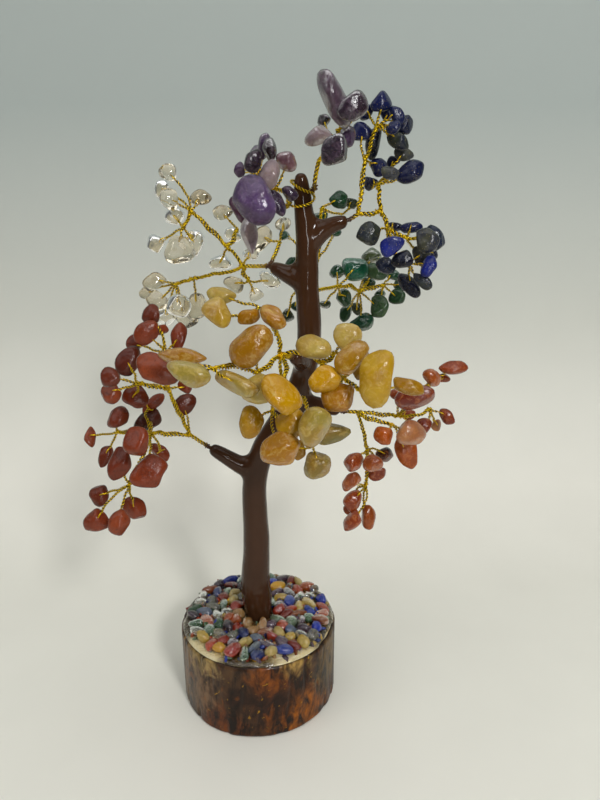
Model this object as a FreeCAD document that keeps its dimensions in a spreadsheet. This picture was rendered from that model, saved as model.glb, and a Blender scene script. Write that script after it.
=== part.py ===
import FreeCAD
import Part
import Sketcher

import itertools
import math
import os
import random

# A wire tree ornament: a slice of log with its bark, a lacquered trunk standing in it, and eight sprays
# of twisted brass wire that carry drilled chips of seven kinds of stone. More chips are glued round the
# trunk's foot. The origin is the centre of the log's underside, +Z is up and the front faces -Y.

Vector = FreeCAD.Vector
DOCUMENT_NAME = "gemstone_tree"
PARTS_FOLDER = "parts"
ORIGIN = Vector(0, 0, 0)
ACROSS = Vector(1, 0, 0)
UPWARD = Vector(0, 0, 1)

# The driving dimensions, in millimetres: alias, value, meaning.
SIZES = [
    ("tree_height", 290.0, "underside of the log to the top of the crown, which the layout follows"),
    ("log_radius", 37.6, "bare wood of the log, without bark"),
    ("log_height", 40.0, "thickness of the log slice"),
    ("bark_thickness", 2.4, "mean thickness of the bark"),
    ("bark_fissure", 0.7, "depth of the fissures between bark plates"),
    ("bark_crack", 0.45, "depth of the narrow cracks between the fissures"),
    ("log_chamfer", 0.8, "broken edge round the underside"),
    ("glue_thickness", 1.2, "clear glue bed on the log"),
    ("glue_margin", 1.6, "bare wood left outside the glue"),
    ("socket_depth", 18.0, "hole in the log for the trunk"),
    ("socket_clearance", 0.3, "play of the trunk in its hole and in the glue"),
    ("trunk_peg_radius", 6.4, "end of the trunk that stands in the log"),
    ("trunk_foot_radius", 7.4, "trunk just above the log"),
    ("trunk_waist_radius", 5.7, "trunk under its first fork"),
    ("trunk_shoulder_radius", 5.4, "trunk at the middle of the crown"),
    ("trunk_neck_radius", 4.2, "trunk near the top"),
    ("trunk_tip_radius", 2.9, "rounded top of the trunk"),
    ("stub_radius", 4.0, "branch stub where it leaves the trunk"),
    ("stub_tip_radius", 2.7, "branch stub at its open end"),
    ("core_radius", 1.9, "bundle of wires inside the trunk's coat"),
    ("core_branch_radius", 1.2, "bundle of wires inside a stub's coat"),
    ("core_clearance", 0.25, "space between the wires and the coat"),
    ("core_cover", 9.0, "coat under the lower end of the bundle"),
    ("wire_diameter", 0.5, "one strand of brass wire"),
    ("stem_radius", 0.95, "twisted bundle from the stub to the first knot"),
    ("bough_radius", 0.75, "twisted bundle between two knots"),
    ("knot_radius", 1.5, "knot where a bundle divides"),
    ("wire_gap", 0.1, "space between a wire and the knot or loop it joins"),
    ("root_gap", 0.3, "space between a spray's root knot and its stub"),
    ("chip_length", 10.0, "stone of share 1"),
    ("chip_thickness", 5.4, "thickness of a stone of share 1"),
    ("chip_gap", 0.35, "least space between two stones, or a stone and a wire"),
    ("drill_clearance", 0.14, "space round the wire in a drilled stone"),
    ("loop_radius", 1.75, "middle line of the wire loop through a stone"),
    ("loop_bite", 1.5, "how far inside the stone's edge its loop reaches"),
    ("twig_least", 1.4, "shortest twisted twig between a knot and a loop"),
    ("spray_gap", 2.2, "room between two sprays, so that one bends past another"),
    ("ground_chip_length", 6.4, "stone glued to the log"),
    ("ground_chip_gap", 0.3, "least space between glued stones"),
]

# The crown is laid out as it is seen in a picture 600 pixels wide and 800 high. A place is the pixel
# where it shows and how far it stands in front of the trunk, as a share of the tree's height.
PICTURE_CENTRE_X_PIXEL = 300
PICTURE_CENTRE_Y_PIXEL = 400
FOCAL_PIXELS = 620
SIGHT_TILT_DEGREES = 17.0
SIGHT_DISTANCE_SHARE = 0.948
SIGHT_HEIGHT_SHARE = 0.831
SIGHT_SIDE_SHARE = 0.0735
FRONT_UNIT_SHARE = 0.345

# The trunk's line above the log, from foot to tip: pixel x, pixel y and front share, then two named
# radii and how far the trunk's radius lies from the first to the second, as a share.
TRUNK_PIXELS_AND_SHARES = [
    (257, 597, 0.0, "trunk_foot_radius", "trunk_waist_radius", 0.0),
    (256, 558, 0.0, "trunk_foot_radius", "trunk_waist_radius", 0.4),
    (255, 512, 0.0, "trunk_foot_radius", "trunk_waist_radius", 0.8),
    (256, 474, 0.0, "trunk_foot_radius", "trunk_waist_radius", 1.0),
    (271, 436, 0.0, "trunk_waist_radius", "trunk_shoulder_radius", 0.0),
    (292, 403, 0.0, "trunk_waist_radius", "trunk_shoulder_radius", 0.5),
    (305, 368, 0.0, "trunk_waist_radius", "trunk_shoulder_radius", 1.0),
    (309, 322, 0.0, "trunk_waist_radius", "trunk_shoulder_radius", 1.0),
    (307, 286, 0.0, "trunk_shoulder_radius", "trunk_neck_radius", 0.3),
    (307, 252, 0.0, "trunk_shoulder_radius", "trunk_neck_radius", 0.5),
    (305, 220, 0.0, "trunk_shoulder_radius", "trunk_neck_radius", 1.0),
    (302, 192, 0.0, "trunk_neck_radius", "trunk_tip_radius", 0.5),
    (301, 180, 0.0, "trunk_neck_radius", "trunk_tip_radius", 1.0),
]
# The rounded top: how far past the last point, and how wide, as shares of trunk_tip_radius.
TRUNK_CAP_SHARES = [(0.62, 0.80), (0.97, 0.30)]

# Every spray: the number of the trunk point it leaves, the elbow of its stub, its forks and its stones.
# An elbow is its pixel x, pixel y and front share, and a spray without one is tied round the trunk. A
# fork is the number of the fork it grows from, pixel x, pixel y and front share, and fork 0 is the root
# knot. A stone is the number of its fork, pixel x, pixel y, front share, length share, width share and
# the turn of its long side in degrees, anticlockwise from level.
SPRAYS = {
    "jasper": {
        "trunk_point": 3,
        "elbow_pixel_and_share": (235, 462, 0.0),
        "fork_pixels_and_shares": [
            (None, 209, 447, 0.0), (0, 190, 435, 0.04), (1, 168, 389, 0.18), (2, 166, 352, 0.10),
            (2, 139, 383, 0.26), (1, 151, 433, 0.18), (5, 129, 485, 0.24), (5, 117, 432, 0.03),
        ],
        "stone_pixels_and_shares": [
            (3, 151, 315, 0.05, 0.75, 0.70, 30), (3, 146, 333, 0.12, 1.12, 0.86, 35),
            (3, 135, 344, 0.02, 0.75, 0.62, 80), (4, 127, 361, 0.12, 1.28, 0.85, 62),
            (3, 162, 330, -0.05, 0.55, 0.45, 0), (3, 180, 339, 0.00, 1.20, 0.66, 85),
            (2, 157, 370, 0.42, 1.50, 1.08, -18), (4, 111, 377, 0.32, 0.80, 0.68, 0),
            (4, 109, 393, 0.22, 1.00, 0.80, -60), (4, 135, 398, 0.18, 1.02, 0.84, -30),
            (2, 186, 386, 0.12, 0.65, 0.50, -60), (1, 183, 404, 0.00, 1.00, 0.75, 52),
            (7, 118, 417, 0.10, 0.95, 0.75, 70), (5, 152, 405, 0.02, 1.20, 0.50, 38),
            (5, 146, 420, 0.04, 1.15, 0.80, 20), (7, 90, 436, -0.04, 1.00, 0.50, 85),
            (7, 106, 456, 0.00, 0.95, 0.58, 68), (5, 137, 441, 0.40, 1.12, 1.00, 50),
            (6, 121, 462, 0.28, 1.40, 0.90, 62), (5, 149, 468, 0.36, 1.55, 1.10, 48),
            (5, 161, 452, 0.06, 0.95, 0.65, -60), (6, 99, 496, 0.14, 0.92, 0.80, -60),
            (6, 97, 522, 0.24, 1.00, 0.92, -20), (6, 117, 521, 0.32, 1.05, 0.90, 60),
            (6, 135, 508, 0.18, 1.15, 0.75, -62),
        ],
    },
    "yellow_quartz": {
        "trunk_point": 6,
        "elbow_pixel_and_share": (301, 361, 0.06),
        "fork_pixels_and_shares": [
            (None, 293, 357, 0.15), (0, 280, 355, 0.24), (1, 276, 331, 0.30), (2, 260, 308, 0.34),
            (1, 257, 373, 0.38), (4, 212, 369, 0.58), (1, 283, 379, 0.37), (6, 272, 411, 0.38),
            (1, 304, 398, 0.38), (8, 313, 446, 0.34), (1, 321, 363, 0.32), (10, 343, 378, 0.38),
            (11, 362, 392, 0.44), (10, 335, 352, 0.38),
        ],
        "stone_pixels_and_shares": [
            (3, 220, 296, 0.32, 1.00, 0.60, -10), (3, 218, 315, 0.44, 1.25, 1.02, -50),
            (3, 249, 317, 0.42, 0.85, 0.52, -5), (2, 274, 318, 0.46, 1.06, 0.72, -32),
            (4, 250, 346, 0.50, 1.80, 1.05, 50), (5, 189, 360, 0.58, 1.50, 0.60, -6),
            (5, 186, 374, 0.70, 1.55, 0.75, -16), (5, 232, 380, 0.54, 1.50, 0.72, -16),
            (4, 256, 391, 0.50, 1.05, 0.90, -35), (6, 282, 396, 0.60, 1.60, 0.95, -42),
            (7, 250, 422, 0.46, 1.00, 0.85, 60), (7, 291, 424, 0.50, 1.00, 0.92, 20),
            (7, 289, 438, 0.36, 0.85, 0.60, 0), (7, 279, 449, 0.54, 1.30, 1.15, -30),
            (9, 299, 450, 0.26, 0.78, 0.42, 85), (8, 313, 428, 0.56, 1.50, 1.05, 75),
            (9, 333, 434, 0.42, 1.20, 0.80, 5), (9, 318, 465, 0.34, 1.15, 0.88, 80),
            (10, 315, 346, 0.44, 1.20, 0.92, -25), (13, 346, 337, 0.42, 1.00, 0.88, 70),
            (13, 353, 356, 0.52, 1.35, 0.78, 42), (10, 324, 378, 0.52, 1.15, 0.90, 10),
            (11, 338, 396, 0.52, 1.15, 0.95, 48), (12, 377, 380, 0.62, 1.70, 1.10, 85),
            (12, 406, 386, 0.48, 1.35, 0.50, -24), (11, 361, 364, 0.40, 0.95, 0.62, 75),
        ],
    },
    "carnelian": {
        "trunk_point": 5,
        "elbow_pixel_and_share": (316, 405, -0.02),
        "fork_pixels_and_shares": [
            (None, 341, 411, -0.05), (0, 358, 412, -0.03), (1, 398, 416, 0.03), (2, 424, 388, 0.00),
            (2, 430, 408, -0.02), (1, 393, 425, 0.08), (1, 367, 449, 0.03), (6, 366, 486, 0.03),
        ],
        "stone_pixels_and_shares": [
            (3, 454, 367, -0.02, 1.25, 0.50, 3), (3, 443, 378, -0.10, 0.55, 0.42, 10),
            (3, 432, 378, 0.06, 0.82, 0.60, -52), (2, 397, 394, 0.02, 0.65, 0.45, 10),
            (2, 414, 399, 0.14, 1.50, 0.80, 16), (2, 408, 416, -0.08, 0.62, 0.48, 0),
            (4, 441, 413, -0.02, 0.75, 0.60, -40), (4, 436, 425, -0.10, 0.55, 0.45, 60),
            (4, 425, 425, 0.04, 0.78, 0.60, 65), (5, 384, 436, 0.14, 0.85, 0.75, 0),
            (5, 410, 434, 0.16, 1.32, 0.85, 0), (5, 406, 453, 0.04, 1.42, 0.95, -72),
            (6, 385, 454, -0.06, 0.75, 0.65, 50), (6, 353, 461, 0.08, 0.93, 0.85, 0),
            (6, 372, 462, 0.12, 0.85, 0.65, 20), (6, 377, 472, 0.02, 0.95, 0.60, 28),
            (7, 352, 482, 0.06, 0.98, 0.65, 58), (7, 354, 498, 0.04, 0.95, 0.70, 60),
            (7, 350, 510, -0.05, 0.60, 0.52, 0), (7, 354, 520, 0.08, 1.00, 0.60, 48),
            (7, 369, 518, 0.00, 1.35, 0.55, 82),
        ],
    },
    "clear_quartz": {
        "trunk_point": 8,
        "elbow_pixel_and_share": (291, 276, -0.02),
        "fork_pixels_and_shares": [
            (None, 270, 266, -0.08), (0, 243, 266, -0.14), (1, 227, 247, -0.20), (2, 191, 211, -0.24),
            (3, 183, 228, -0.22), (1, 193, 278, -0.22), (5, 176, 284, -0.26), (2, 238, 229, -0.26),
            (0, 280, 242, -0.17), (1, 249, 281, -0.18),
        ],
        "stone_pixels_and_shares": [
            (3, 168, 173, -0.22, 0.75, 0.65, 50), (3, 161, 189, -0.30, 0.75, 0.58, 70),
            (3, 169, 199, -0.20, 0.92, 0.65, -65), (3, 199, 200, -0.28, 0.92, 0.65, -10),
            (4, 174, 215, -0.30, 0.85, 0.75, 70), (4, 179, 250, -0.16, 1.25, 1.05, -60),
            (4, 194, 243, -0.28, 1.05, 0.85, 60), (4, 157, 243, -0.26, 0.88, 0.68, 80),
            (6, 159, 301, -0.20, 0.95, 0.85, 0), (6, 178, 305, -0.16, 1.20, 0.95, -10),
            (5, 197, 306, -0.26, 1.05, 0.88, 75), (6, 166, 317, -0.30, 1.08, 0.75, 10),
            (6, 187, 319, -0.30, 1.08, 0.75, -15), (6, 155, 280, -0.28, 0.98, 0.90, 0),
            (6, 146, 292, -0.34, 0.70, 0.60, 0), (7, 233, 234, -0.32, 0.80, 0.60, -30),
            (1, 251, 252, -0.24, 0.75, 0.60, 0), (8, 263, 239, -0.22, 1.20, 0.75, 75),
            (8, 284, 223, -0.22, 0.65, 0.58, 0), (2, 220, 264, -0.26, 0.95, 0.68, 15),
            (9, 233, 284, -0.24, 0.95, 0.75, 20), (9, 270, 281, -0.24, 0.85, 0.70, -20),
            (9, 254, 291, -0.14, 0.66, 0.56, 0), (7, 222, 213, -0.30, 0.85, 0.60, -15),
        ],
    },
    "amethyst_left": {
        "trunk_point": 11,
        "elbow_pixel_and_share": None,
        "fork_pixels_and_shares": [
            (None, 287, 180, 0.04), (0, 275, 189, 0.13), (0, 285, 206, 0.12), (1, 260, 174, 0.11),
            (1, 252, 214, 0.08),
        ],
        "stone_pixels_and_shares": [
            (1, 271, 149, 0.14, 0.82, 0.60, 85), (3, 257, 150, 0.08, 0.50, 0.42, 0),
            (3, 253, 162, 0.22, 0.95, 0.55, 75), (3, 262, 159, 0.10, 0.90, 0.45, 80),
            (3, 244, 171, 0.12, 0.52, 0.40, 80), (1, 270, 174, 0.30, 1.05, 0.78, 72),
            (1, 288, 163, 0.16, 0.90, 0.70, -20), (1, 254, 201, 0.38, 1.75, 1.20, -58),
            (2, 290, 194, 0.20, 0.60, 0.48, -30), (2, 277, 203, 0.26, 0.95, 0.50, -65),
            (4, 239, 211, 0.20, 1.05, 0.58, -72), (4, 248, 234, 0.26, 1.30, 0.60, -80),
        ],
    },
    "amethyst_right": {
        "trunk_point": 11,
        "elbow_pixel_and_share": None,
        "fork_pixels_and_shares": [
            (None, 315, 177, 0.02), (0, 318, 163, 0.05), (1, 331, 140, 0.06), (2, 340, 128, 0.04),
        ],
        "stone_pixels_and_shares": [
            (3, 335, 98, 0.18, 1.80, 0.78, -66), (3, 354, 107, 0.20, 1.15, 0.82, 38),
            (2, 318, 135, 0.16, 0.92, 0.62, 20), (2, 334, 151, 0.26, 1.02, 0.88, 70),
            (2, 326, 126, 0.04, 0.50, 0.42, 0), (3, 346, 137, 0.10, 0.80, 0.55, 80),
        ],
    },
    "lapis": {
        "trunk_point": 9,
        "elbow_pixel_and_share": (325, 229, 0.0),
        "fork_pixels_and_shares": [
            (None, 349, 220, 0.0), (0, 358, 214, 0.01), (1, 361, 197, 0.01), (2, 365, 160, 0.00),
            (3, 377, 126, 0.02), (1, 381, 211, 0.03), (5, 378, 184, 0.02), (5, 388, 229, 0.05),
            (7, 407, 238, 0.06), (7, 408, 263, 0.05),
        ],
        "stone_pixels_and_shares": [
            (4, 366, 111, -0.06, 0.75, 0.45, 62), (4, 381, 107, 0.00, 0.82, 0.72, 5),
            (4, 389, 113, -0.08, 0.65, 0.58, 0), (4, 397, 115, 0.02, 0.75, 0.48, -75),
            (4, 389, 128, 0.06, 0.55, 0.48, 0), (4, 405, 124, -0.04, 0.78, 0.65, 50),
            (3, 362, 131, -0.04, 0.75, 0.65, -50), (3, 372, 143, -0.10, 1.15, 0.48, 86),
            (4, 396, 140, 0.00, 0.85, 0.58, -32), (6, 403, 154, -0.04, 0.78, 0.45, -15),
            (6, 409, 174, 0.06, 1.08, 0.78, 25), (3, 378, 167, -0.06, 0.82, 0.70, 70),
            (6, 393, 162, -0.12, 0.56, 0.46, 0), (6, 371, 184, -0.06, 0.55, 0.48, 0),
            (6, 389, 175, 0.08, 0.68, 0.46, 0), (7, 368, 233, 0.12, 0.88, 0.85, 80),
            (7, 393, 245, 0.16, 0.92, 0.70, 30), (9, 401, 260, 0.16, 0.80, 0.62, 10),
            (9, 389, 266, 0.06, 0.74, 0.64, -50), (8, 421, 240, 0.10, 0.90, 0.76, -40),
            (8, 434, 239, 0.00, 1.05, 0.60, -62), (8, 411, 227, -0.04, 0.88, 0.42, 0),
            (9, 419, 256, 0.02, 0.88, 0.65, -70), (9, 429, 266, 0.12, 0.90, 0.72, 70),
            (8, 433, 254, -0.10, 0.45, 0.40, 0), (9, 410, 285, 0.02, 1.05, 0.58, -48),
            (9, 423, 281, 0.10, 0.78, 0.45, -35), (7, 394, 227, -0.08, 0.62, 0.42, 0),
        ],
    },
    "aventurine": {
        "trunk_point": 8,
        "elbow_pixel_and_share": (309, 289, -0.07),
        "fork_pixels_and_shares": [
            (None, 314, 291, -0.16), (0, 339, 286, -0.30), (1, 360, 291, -0.42), (2, 384, 285, -0.47),
            (0, 318, 258, -0.22), (4, 322, 207, -0.20), (0, 299, 283, -0.26),
        ],
        "stone_pixels_and_shares": [
            (5, 339, 200, -0.24, 0.80, 0.65, 0), (5, 351, 204, -0.32, 0.56, 0.48, 0),
            (5, 321, 217, -0.26, 0.85, 0.56, 10), (4, 335, 231, -0.28, 0.56, 0.42, 0),
            (1, 337, 272, -0.36, 0.75, 0.55, 0), (1, 355, 268, -0.38, 1.20, 1.00, 20),
            (2, 372, 255, -0.50, 0.92, 0.78, 80), (2, 375, 271, -0.40, 0.96, 0.88, 0),
            (2, 369, 282, -0.54, 0.62, 0.60, 0), (3, 390, 277, -0.50, 0.68, 0.62, 0),
            (3, 401, 285, -0.56, 0.68, 0.58, 0), (3, 396, 297, -0.48, 0.78, 0.72, 15),
            (2, 377, 307, -0.42, 1.05, 1.00, 0), (3, 381, 293, -0.58, 0.60, 0.52, 0),
            (1, 344, 297, -0.40, 0.88, 0.66, 80), (2, 346, 313, -0.46, 0.88, 0.52, 88),
            (2, 361, 322, -0.42, 1.22, 0.72, 15), (2, 356, 309, -0.56, 0.62, 0.56, 0),
            (1, 324, 305, -0.36, 0.56, 0.50, 0), (6, 292, 262, -0.30, 0.60, 0.50, 0),
            (6, 296, 306, -0.34, 0.50, 0.45, 0), (6, 287, 317, -0.32, 0.75, 0.52, 15),
            (6, 285, 235, -0.34, 0.50, 0.45, 0),
        ],
    },
}

# The kinds of the glued chips, which lie well mixed.
GROUND_KINDS = [
    "clear_quartz", "jasper", "yellow_quartz", "aventurine", "lapis", "carnelian", "amethyst",
]

# Shares and counts that give every chip its shape, and the steps of the search for clear places.
CHIP_SPREAD_SHARE = 0.13
CHIP_FLATS = 5
CHIP_FLAT_SHARES = (0.58, 0.86)
CHIP_SEED_STEP = 100
CHIP_TAPER_SHARE = 0.26
CHIP_DEPTH_SHARES = (0.58, 0.42)
CHIP_TILT_DEGREES = 14
CHIP_CORNERS = 12
GRAZING_SHARE = 0.01
GROUND_COVER_SHARE = 0.72
GROUND_WIDTH_SHARES = (0.62, 0.92)
GROUND_DEPTH_SHARES = (0.55, 0.80)
GROUND_LENGTH_SHARES = (0.78, 1.35)
GROUND_FOOT_SHARE = 0.55
GROUND_DIRECTIONS = 12
GOLDEN_ANGLE = math.pi * (3 - math.sqrt(5))
SETTLE_ROUNDS = 90
SIGHT_COST_SHARE = 0.45
FISSURE_COUNT = 17
CRACK_COUNT = 29
FISSURE_WIDTH_SHARE = 1.6

document = FreeCAD.newDocument(DOCUMENT_NAME)
sheet = document.addObject("Spreadsheet::Sheet", "sizes")
for row, (alias, value, meaning) in enumerate(SIZES, start=1):
    sheet.set(f"A{row}", alias)
    sheet.set(f"B{row}", str(value))
    sheet.set(f"C{row}", meaning)
    sheet.setAlias(f"B{row}", alias)
document.recompute()


def size(alias):
    return float(getattr(sheet, alias))


def unit(vector):
    return vector / vector.Length


def square_to(direction, like):
    """The unit vector nearest to like that stands square to direction."""
    return unit(like - direction * like.dot(direction))


# The picture: places are found on the lines of sight of its pixels.
SIGHT_TILT = math.radians(SIGHT_TILT_DEGREES)
SIGHT_FORWARD = Vector(0, math.cos(SIGHT_TILT), -math.sin(SIGHT_TILT))
SIGHT_UPWARD = Vector(0, math.sin(SIGHT_TILT), math.cos(SIGHT_TILT))
EYE_SHARES = Vector(SIGHT_SIDE_SHARE, -SIGHT_DISTANCE_SHARE, SIGHT_HEIGHT_SHARE)


def seen_at(pixel_x, pixel_y, front_share):
    """The point seen at a pixel that stands front_share of the front unit before the trunk."""
    eye = EYE_SHARES * size("tree_height")
    right = (pixel_x - PICTURE_CENTRE_X_PIXEL) / FOCAL_PIXELS
    up = (PICTURE_CENTRE_Y_PIXEL - pixel_y) / FOCAL_PIXELS
    sight = SIGHT_FORWARD + ACROSS * right + SIGHT_UPWARD * up
    front = front_share * FRONT_UNIT_SHARE * size("tree_height")
    return eye + sight * ((-front - eye.y) / sight.y)


# The log: a disc of wood with a hole for the trunk, its bark and the glue on top.
def sketch_on(body, name, height_formula):
    """An empty sketch, level, in a body, at a height that follows the sizes."""
    plane = [feature for feature in body.Origin.OriginFeatures if feature.Role == "XY_Plane"][0]
    sketch = body.newObject("Sketcher::SketchObject", name)
    sketch.AttachmentSupport = [(plane, "")]
    sketch.MapMode = "FlatFace"
    sketch.setExpression("AttachmentOffset.Base.z", height_formula)
    return sketch


def draw_circle(sketch, radius_formula):
    """A circle round the middle of a sketch, its radius held by a constraint that follows the sizes."""
    first_guess = size("log_radius")
    edge = sketch.addGeometry(Part.Circle(ORIGIN, UPWARD, first_guess), False)
    sketch.addConstraint(Sketcher.Constraint("Coincident", edge, 3, -1, 1))
    held = sketch.addConstraint(Sketcher.Constraint("Radius", edge, first_guess))
    sketch.setExpression(f"Constraints[{held}]", radius_formula)


def make_disc(name, height_formula, outer_formula, inner_formula, thickness_formula):
    """A round plate, or a ring where it has an inner radius, padded upwards."""
    body = document.addObject("PartDesign::Body", name)
    sketch = sketch_on(body, f"{name}_outline", height_formula)
    draw_circle(sketch, outer_formula)
    if inner_formula:
        draw_circle(sketch, inner_formula)
    pad = body.newObject("PartDesign::Pad", f"{name}_pad")
    pad.Profile = sketch
    pad.setExpression("Length", thickness_formula)
    sketch.Visibility = False
    document.recompute()
    return body


def make_log_core():
    body = make_disc("log_core", "0", "sizes.log_radius", None, "sizes.log_height")
    sketch = sketch_on(body, "socket_outline", "sizes.log_height")
    draw_circle(sketch, "sizes.trunk_peg_radius + sizes.socket_clearance")
    socket = body.newObject("PartDesign::Pocket", "socket")
    socket.Profile = sketch
    socket.setExpression("Length", "sizes.socket_depth")
    return body


def notch_outline(body, name, depth_formula, turn):
    """A three-cornered notch at the bark's outer edge, at a turn about the log."""
    outer = size("log_radius") + size("bark_thickness")
    depth = size(depth_formula)
    half_width = depth * FISSURE_WIDTH_SHARE
    outward = Vector(math.cos(turn), math.sin(turn), 0)
    sideways = Vector(-outward.y, outward.x, 0)
    bottom = outward * (outer - depth)
    left = outward * (outer + depth) + sideways * half_width
    right = outward * (outer + depth) - sideways * half_width
    sketch = sketch_on(body, name, "0")
    for start, end in ((bottom, left), (left, right), (right, bottom)):
        sketch.addGeometry(Part.LineSegment(start, end), False)
    return sketch


def make_bark_ring():
    body = make_disc(
        "bark_ring", "0", "sizes.log_radius + sizes.bark_thickness", "sizes.log_radius", "sizes.log_height",
    )
    outer = size("log_radius") + size("bark_thickness")
    tolerance = size("bark_thickness") / 2
    ring = body.Tip.Shape
    rim = [
        f"Edge{number}" for number, edge in enumerate(ring.Edges, start=1)
        if edge.Closed and edge.BoundBox.ZMax < tolerance and abs(edge.BoundBox.XMax - outer) < tolerance
    ]
    chamfer = body.newObject("PartDesign::Chamfer", "underside_chamfer")
    chamfer.Base = (body.Group[-2], rim)
    chamfer.setExpression("Size", "sizes.log_chamfer")
    document.recompute()
    for name, depth_alias, count in (
        ("fissure", "bark_fissure", FISSURE_COUNT), ("crack", "bark_crack", CRACK_COUNT),
    ):
        sketch = notch_outline(body, f"{name}_outline", depth_alias, math.pi / count)
        pocket = body.newObject("PartDesign::Pocket", name)
        pocket.Profile = sketch
        pocket.Type = "ThroughAll"
        pocket.Reversed = True
        document.recompute()
        pattern = body.newObject("PartDesign::PolarPattern", f"{name}_pattern")
        pattern.Originals = [pocket]
        pattern.Axis = (sketch, ["N_Axis"])
        pattern.Angle = 360
        pattern.Occurrences = count
        body.Tip = pattern
        document.recompute()
    return body


# Round limbs: the trunk, its stubs, the channels in them and the bundles of wire that fill those.
def limb(name, centres, formulas):
    """A smooth solid through round sections that stand square to the line through their centres."""
    sections = []
    for index, (centre, formula) in enumerate(zip(centres, formulas)):
        before = centres[max(index - 1, 0)]
        after = centres[min(index + 1, len(centres) - 1)]
        section = document.addObject("Part::Circle", f"{name}_section_{index}")
        section.setExpression("Radius", formula)
        section.Placement = FreeCAD.Placement(centre, FreeCAD.Rotation(UPWARD, unit(after - before)))
        sections.append(section)
    loft = document.addObject("Part::Loft", name)
    loft.Sections = sections
    loft.Solid = True
    return loft


def between(first_alias, second_alias, share):
    return f"sizes.{first_alias} * {1 - share:.3f} + sizes.{second_alias} * {share:.3f}"


TRUNK_ROOT_HEIGHT = size("log_height") - size("socket_depth")
TRUNK_POINTS = [seen_at(*row[:3]) for row in TRUNK_PIXELS_AND_SHARES]
TRUNK_RADII = [
    size(first) + (size(second) - size(first)) * share for *_, first, second, share in TRUNK_PIXELS_AND_SHARES
]
PEG_POINTS = [
    UPWARD * TRUNK_ROOT_HEIGHT,
    UPWARD * (TRUNK_ROOT_HEIGHT + size("socket_depth") / 2),
    UPWARD * size("log_height"),
]


def spray_root(layout):
    """The middle of a spray's root knot: on the line of its stub, or beside the trunk that it is tied to."""
    root = seen_at(*layout["fork_pixels_and_shares"][0][1:])
    if layout["elbow_pixel_and_share"]:
        return root
    index = layout["trunk_point"]
    middle = TRUNK_POINTS[index]
    along = unit(TRUNK_POINTS[index + 1] - TRUNK_POINTS[index - 1])
    outward = square_to(along, root - middle)
    return middle + outward * (TRUNK_RADII[index] + size("root_gap") + size("knot_radius"))


def stub_points(layout):
    """The middle line of a stub: in the trunk, at its elbow and at its open end before the root knot."""
    start = TRUNK_POINTS[layout["trunk_point"]]
    elbow = seen_at(*layout["elbow_pixel_and_share"])
    root = spray_root(layout)
    end = root - unit(root - elbow) * (size("knot_radius") + size("root_gap"))
    return [start, elbow, end]


STUBS = {kind: stub_points(layout) for kind, layout in SPRAYS.items() if layout["elbow_pixel_and_share"]}


def make_trunk():
    """The coat with its stubs, hollowed for the bundles of wire, and the bundles themselves."""
    cap_start = TRUNK_POINTS[-1]
    cap_direction = unit(TRUNK_POINTS[-1] - TRUNK_POINTS[-2])
    cap = [cap_start + cap_direction * (size("trunk_tip_radius") * reach) for reach, _ in TRUNK_CAP_SHARES]
    centres = PEG_POINTS + TRUNK_POINTS + cap
    formulas = ["sizes.trunk_peg_radius"] * len(PEG_POINTS)
    formulas += [between(*row[3:]) for row in TRUNK_PIXELS_AND_SHARES]
    formulas += [f"sizes.trunk_tip_radius * {width}" for _, width in TRUNK_CAP_SHARES]
    coats = [limb("trunk_limb", centres, formulas)]
    channels = []
    bundles = []
    core_centres = [UPWARD * (TRUNK_ROOT_HEIGHT + size("core_cover"))] + TRUNK_POINTS[:-1]
    bore = "sizes.core_radius + sizes.core_clearance"
    channels.append(limb("trunk_channel", core_centres, [bore] * len(core_centres)))
    bundle_centres = [core_centres[0] + UPWARD * size("core_clearance")] + core_centres[1:-1]
    bundle_end = core_centres[-1] - unit(core_centres[-1] - core_centres[-2]) * size("core_clearance")
    bundle_centres.append(bundle_end)
    bundles.append(limb("trunk_bundle", bundle_centres, ["sizes.core_radius"] * len(bundle_centres)))
    for kind, (start, elbow, end) in STUBS.items():
        coats.append(limb(
            f"{kind}_stub", [start, elbow, end],
            ["sizes.stub_radius", "sizes.stub_radius", "sizes.stub_tip_radius"],
        ))
        beyond = end + unit(end - elbow) * size("stub_tip_radius")
        stub_bore = "sizes.core_branch_radius + sizes.core_clearance"
        channels.append(limb(f"{kind}_channel", [start, elbow, beyond], [stub_bore] * 3))
        bundles.append(limb(f"{kind}_bundle", [start, elbow, end], ["sizes.core_branch_radius"] * 3))
    joined = {}
    for name, members in (("coat_body", coats), ("coat_channels", channels), ("wire_core", bundles)):
        joined[name] = document.addObject("Part::MultiFuse", name)
        joined[name].Shapes = members
    coat = document.addObject("Part::Cut", "trunk_coat")
    coat.Base = joined["coat_body"]
    coat.Tool = joined["coat_channels"]
    return [coat, joined["wire_core"]]


# A chip: twelve corners round its middle, moved in and out, flattened on a few sides and tapered.
GOLDEN_RATIO = (1 + math.sqrt(5)) / 2
UNIT_CORNERS = []
for one in (-1, 1):
    for golden in (-GOLDEN_RATIO, GOLDEN_RATIO):
        UNIT_CORNERS += [Vector(0, one, golden), Vector(one, golden, 0), Vector(golden, 0, one)]
UNIT_EDGE = 2
UNIT_SLACK_SHARE = 0.01
UNIT_FACES = [
    triple for triple in itertools.combinations(range(CHIP_CORNERS), 3)
    if all(
        abs((UNIT_CORNERS[first] - UNIT_CORNERS[second]).Length - UNIT_EDGE) < UNIT_EDGE * UNIT_SLACK_SHARE
        for first, second in itertools.combinations(triple, 2)
    )
]


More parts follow.
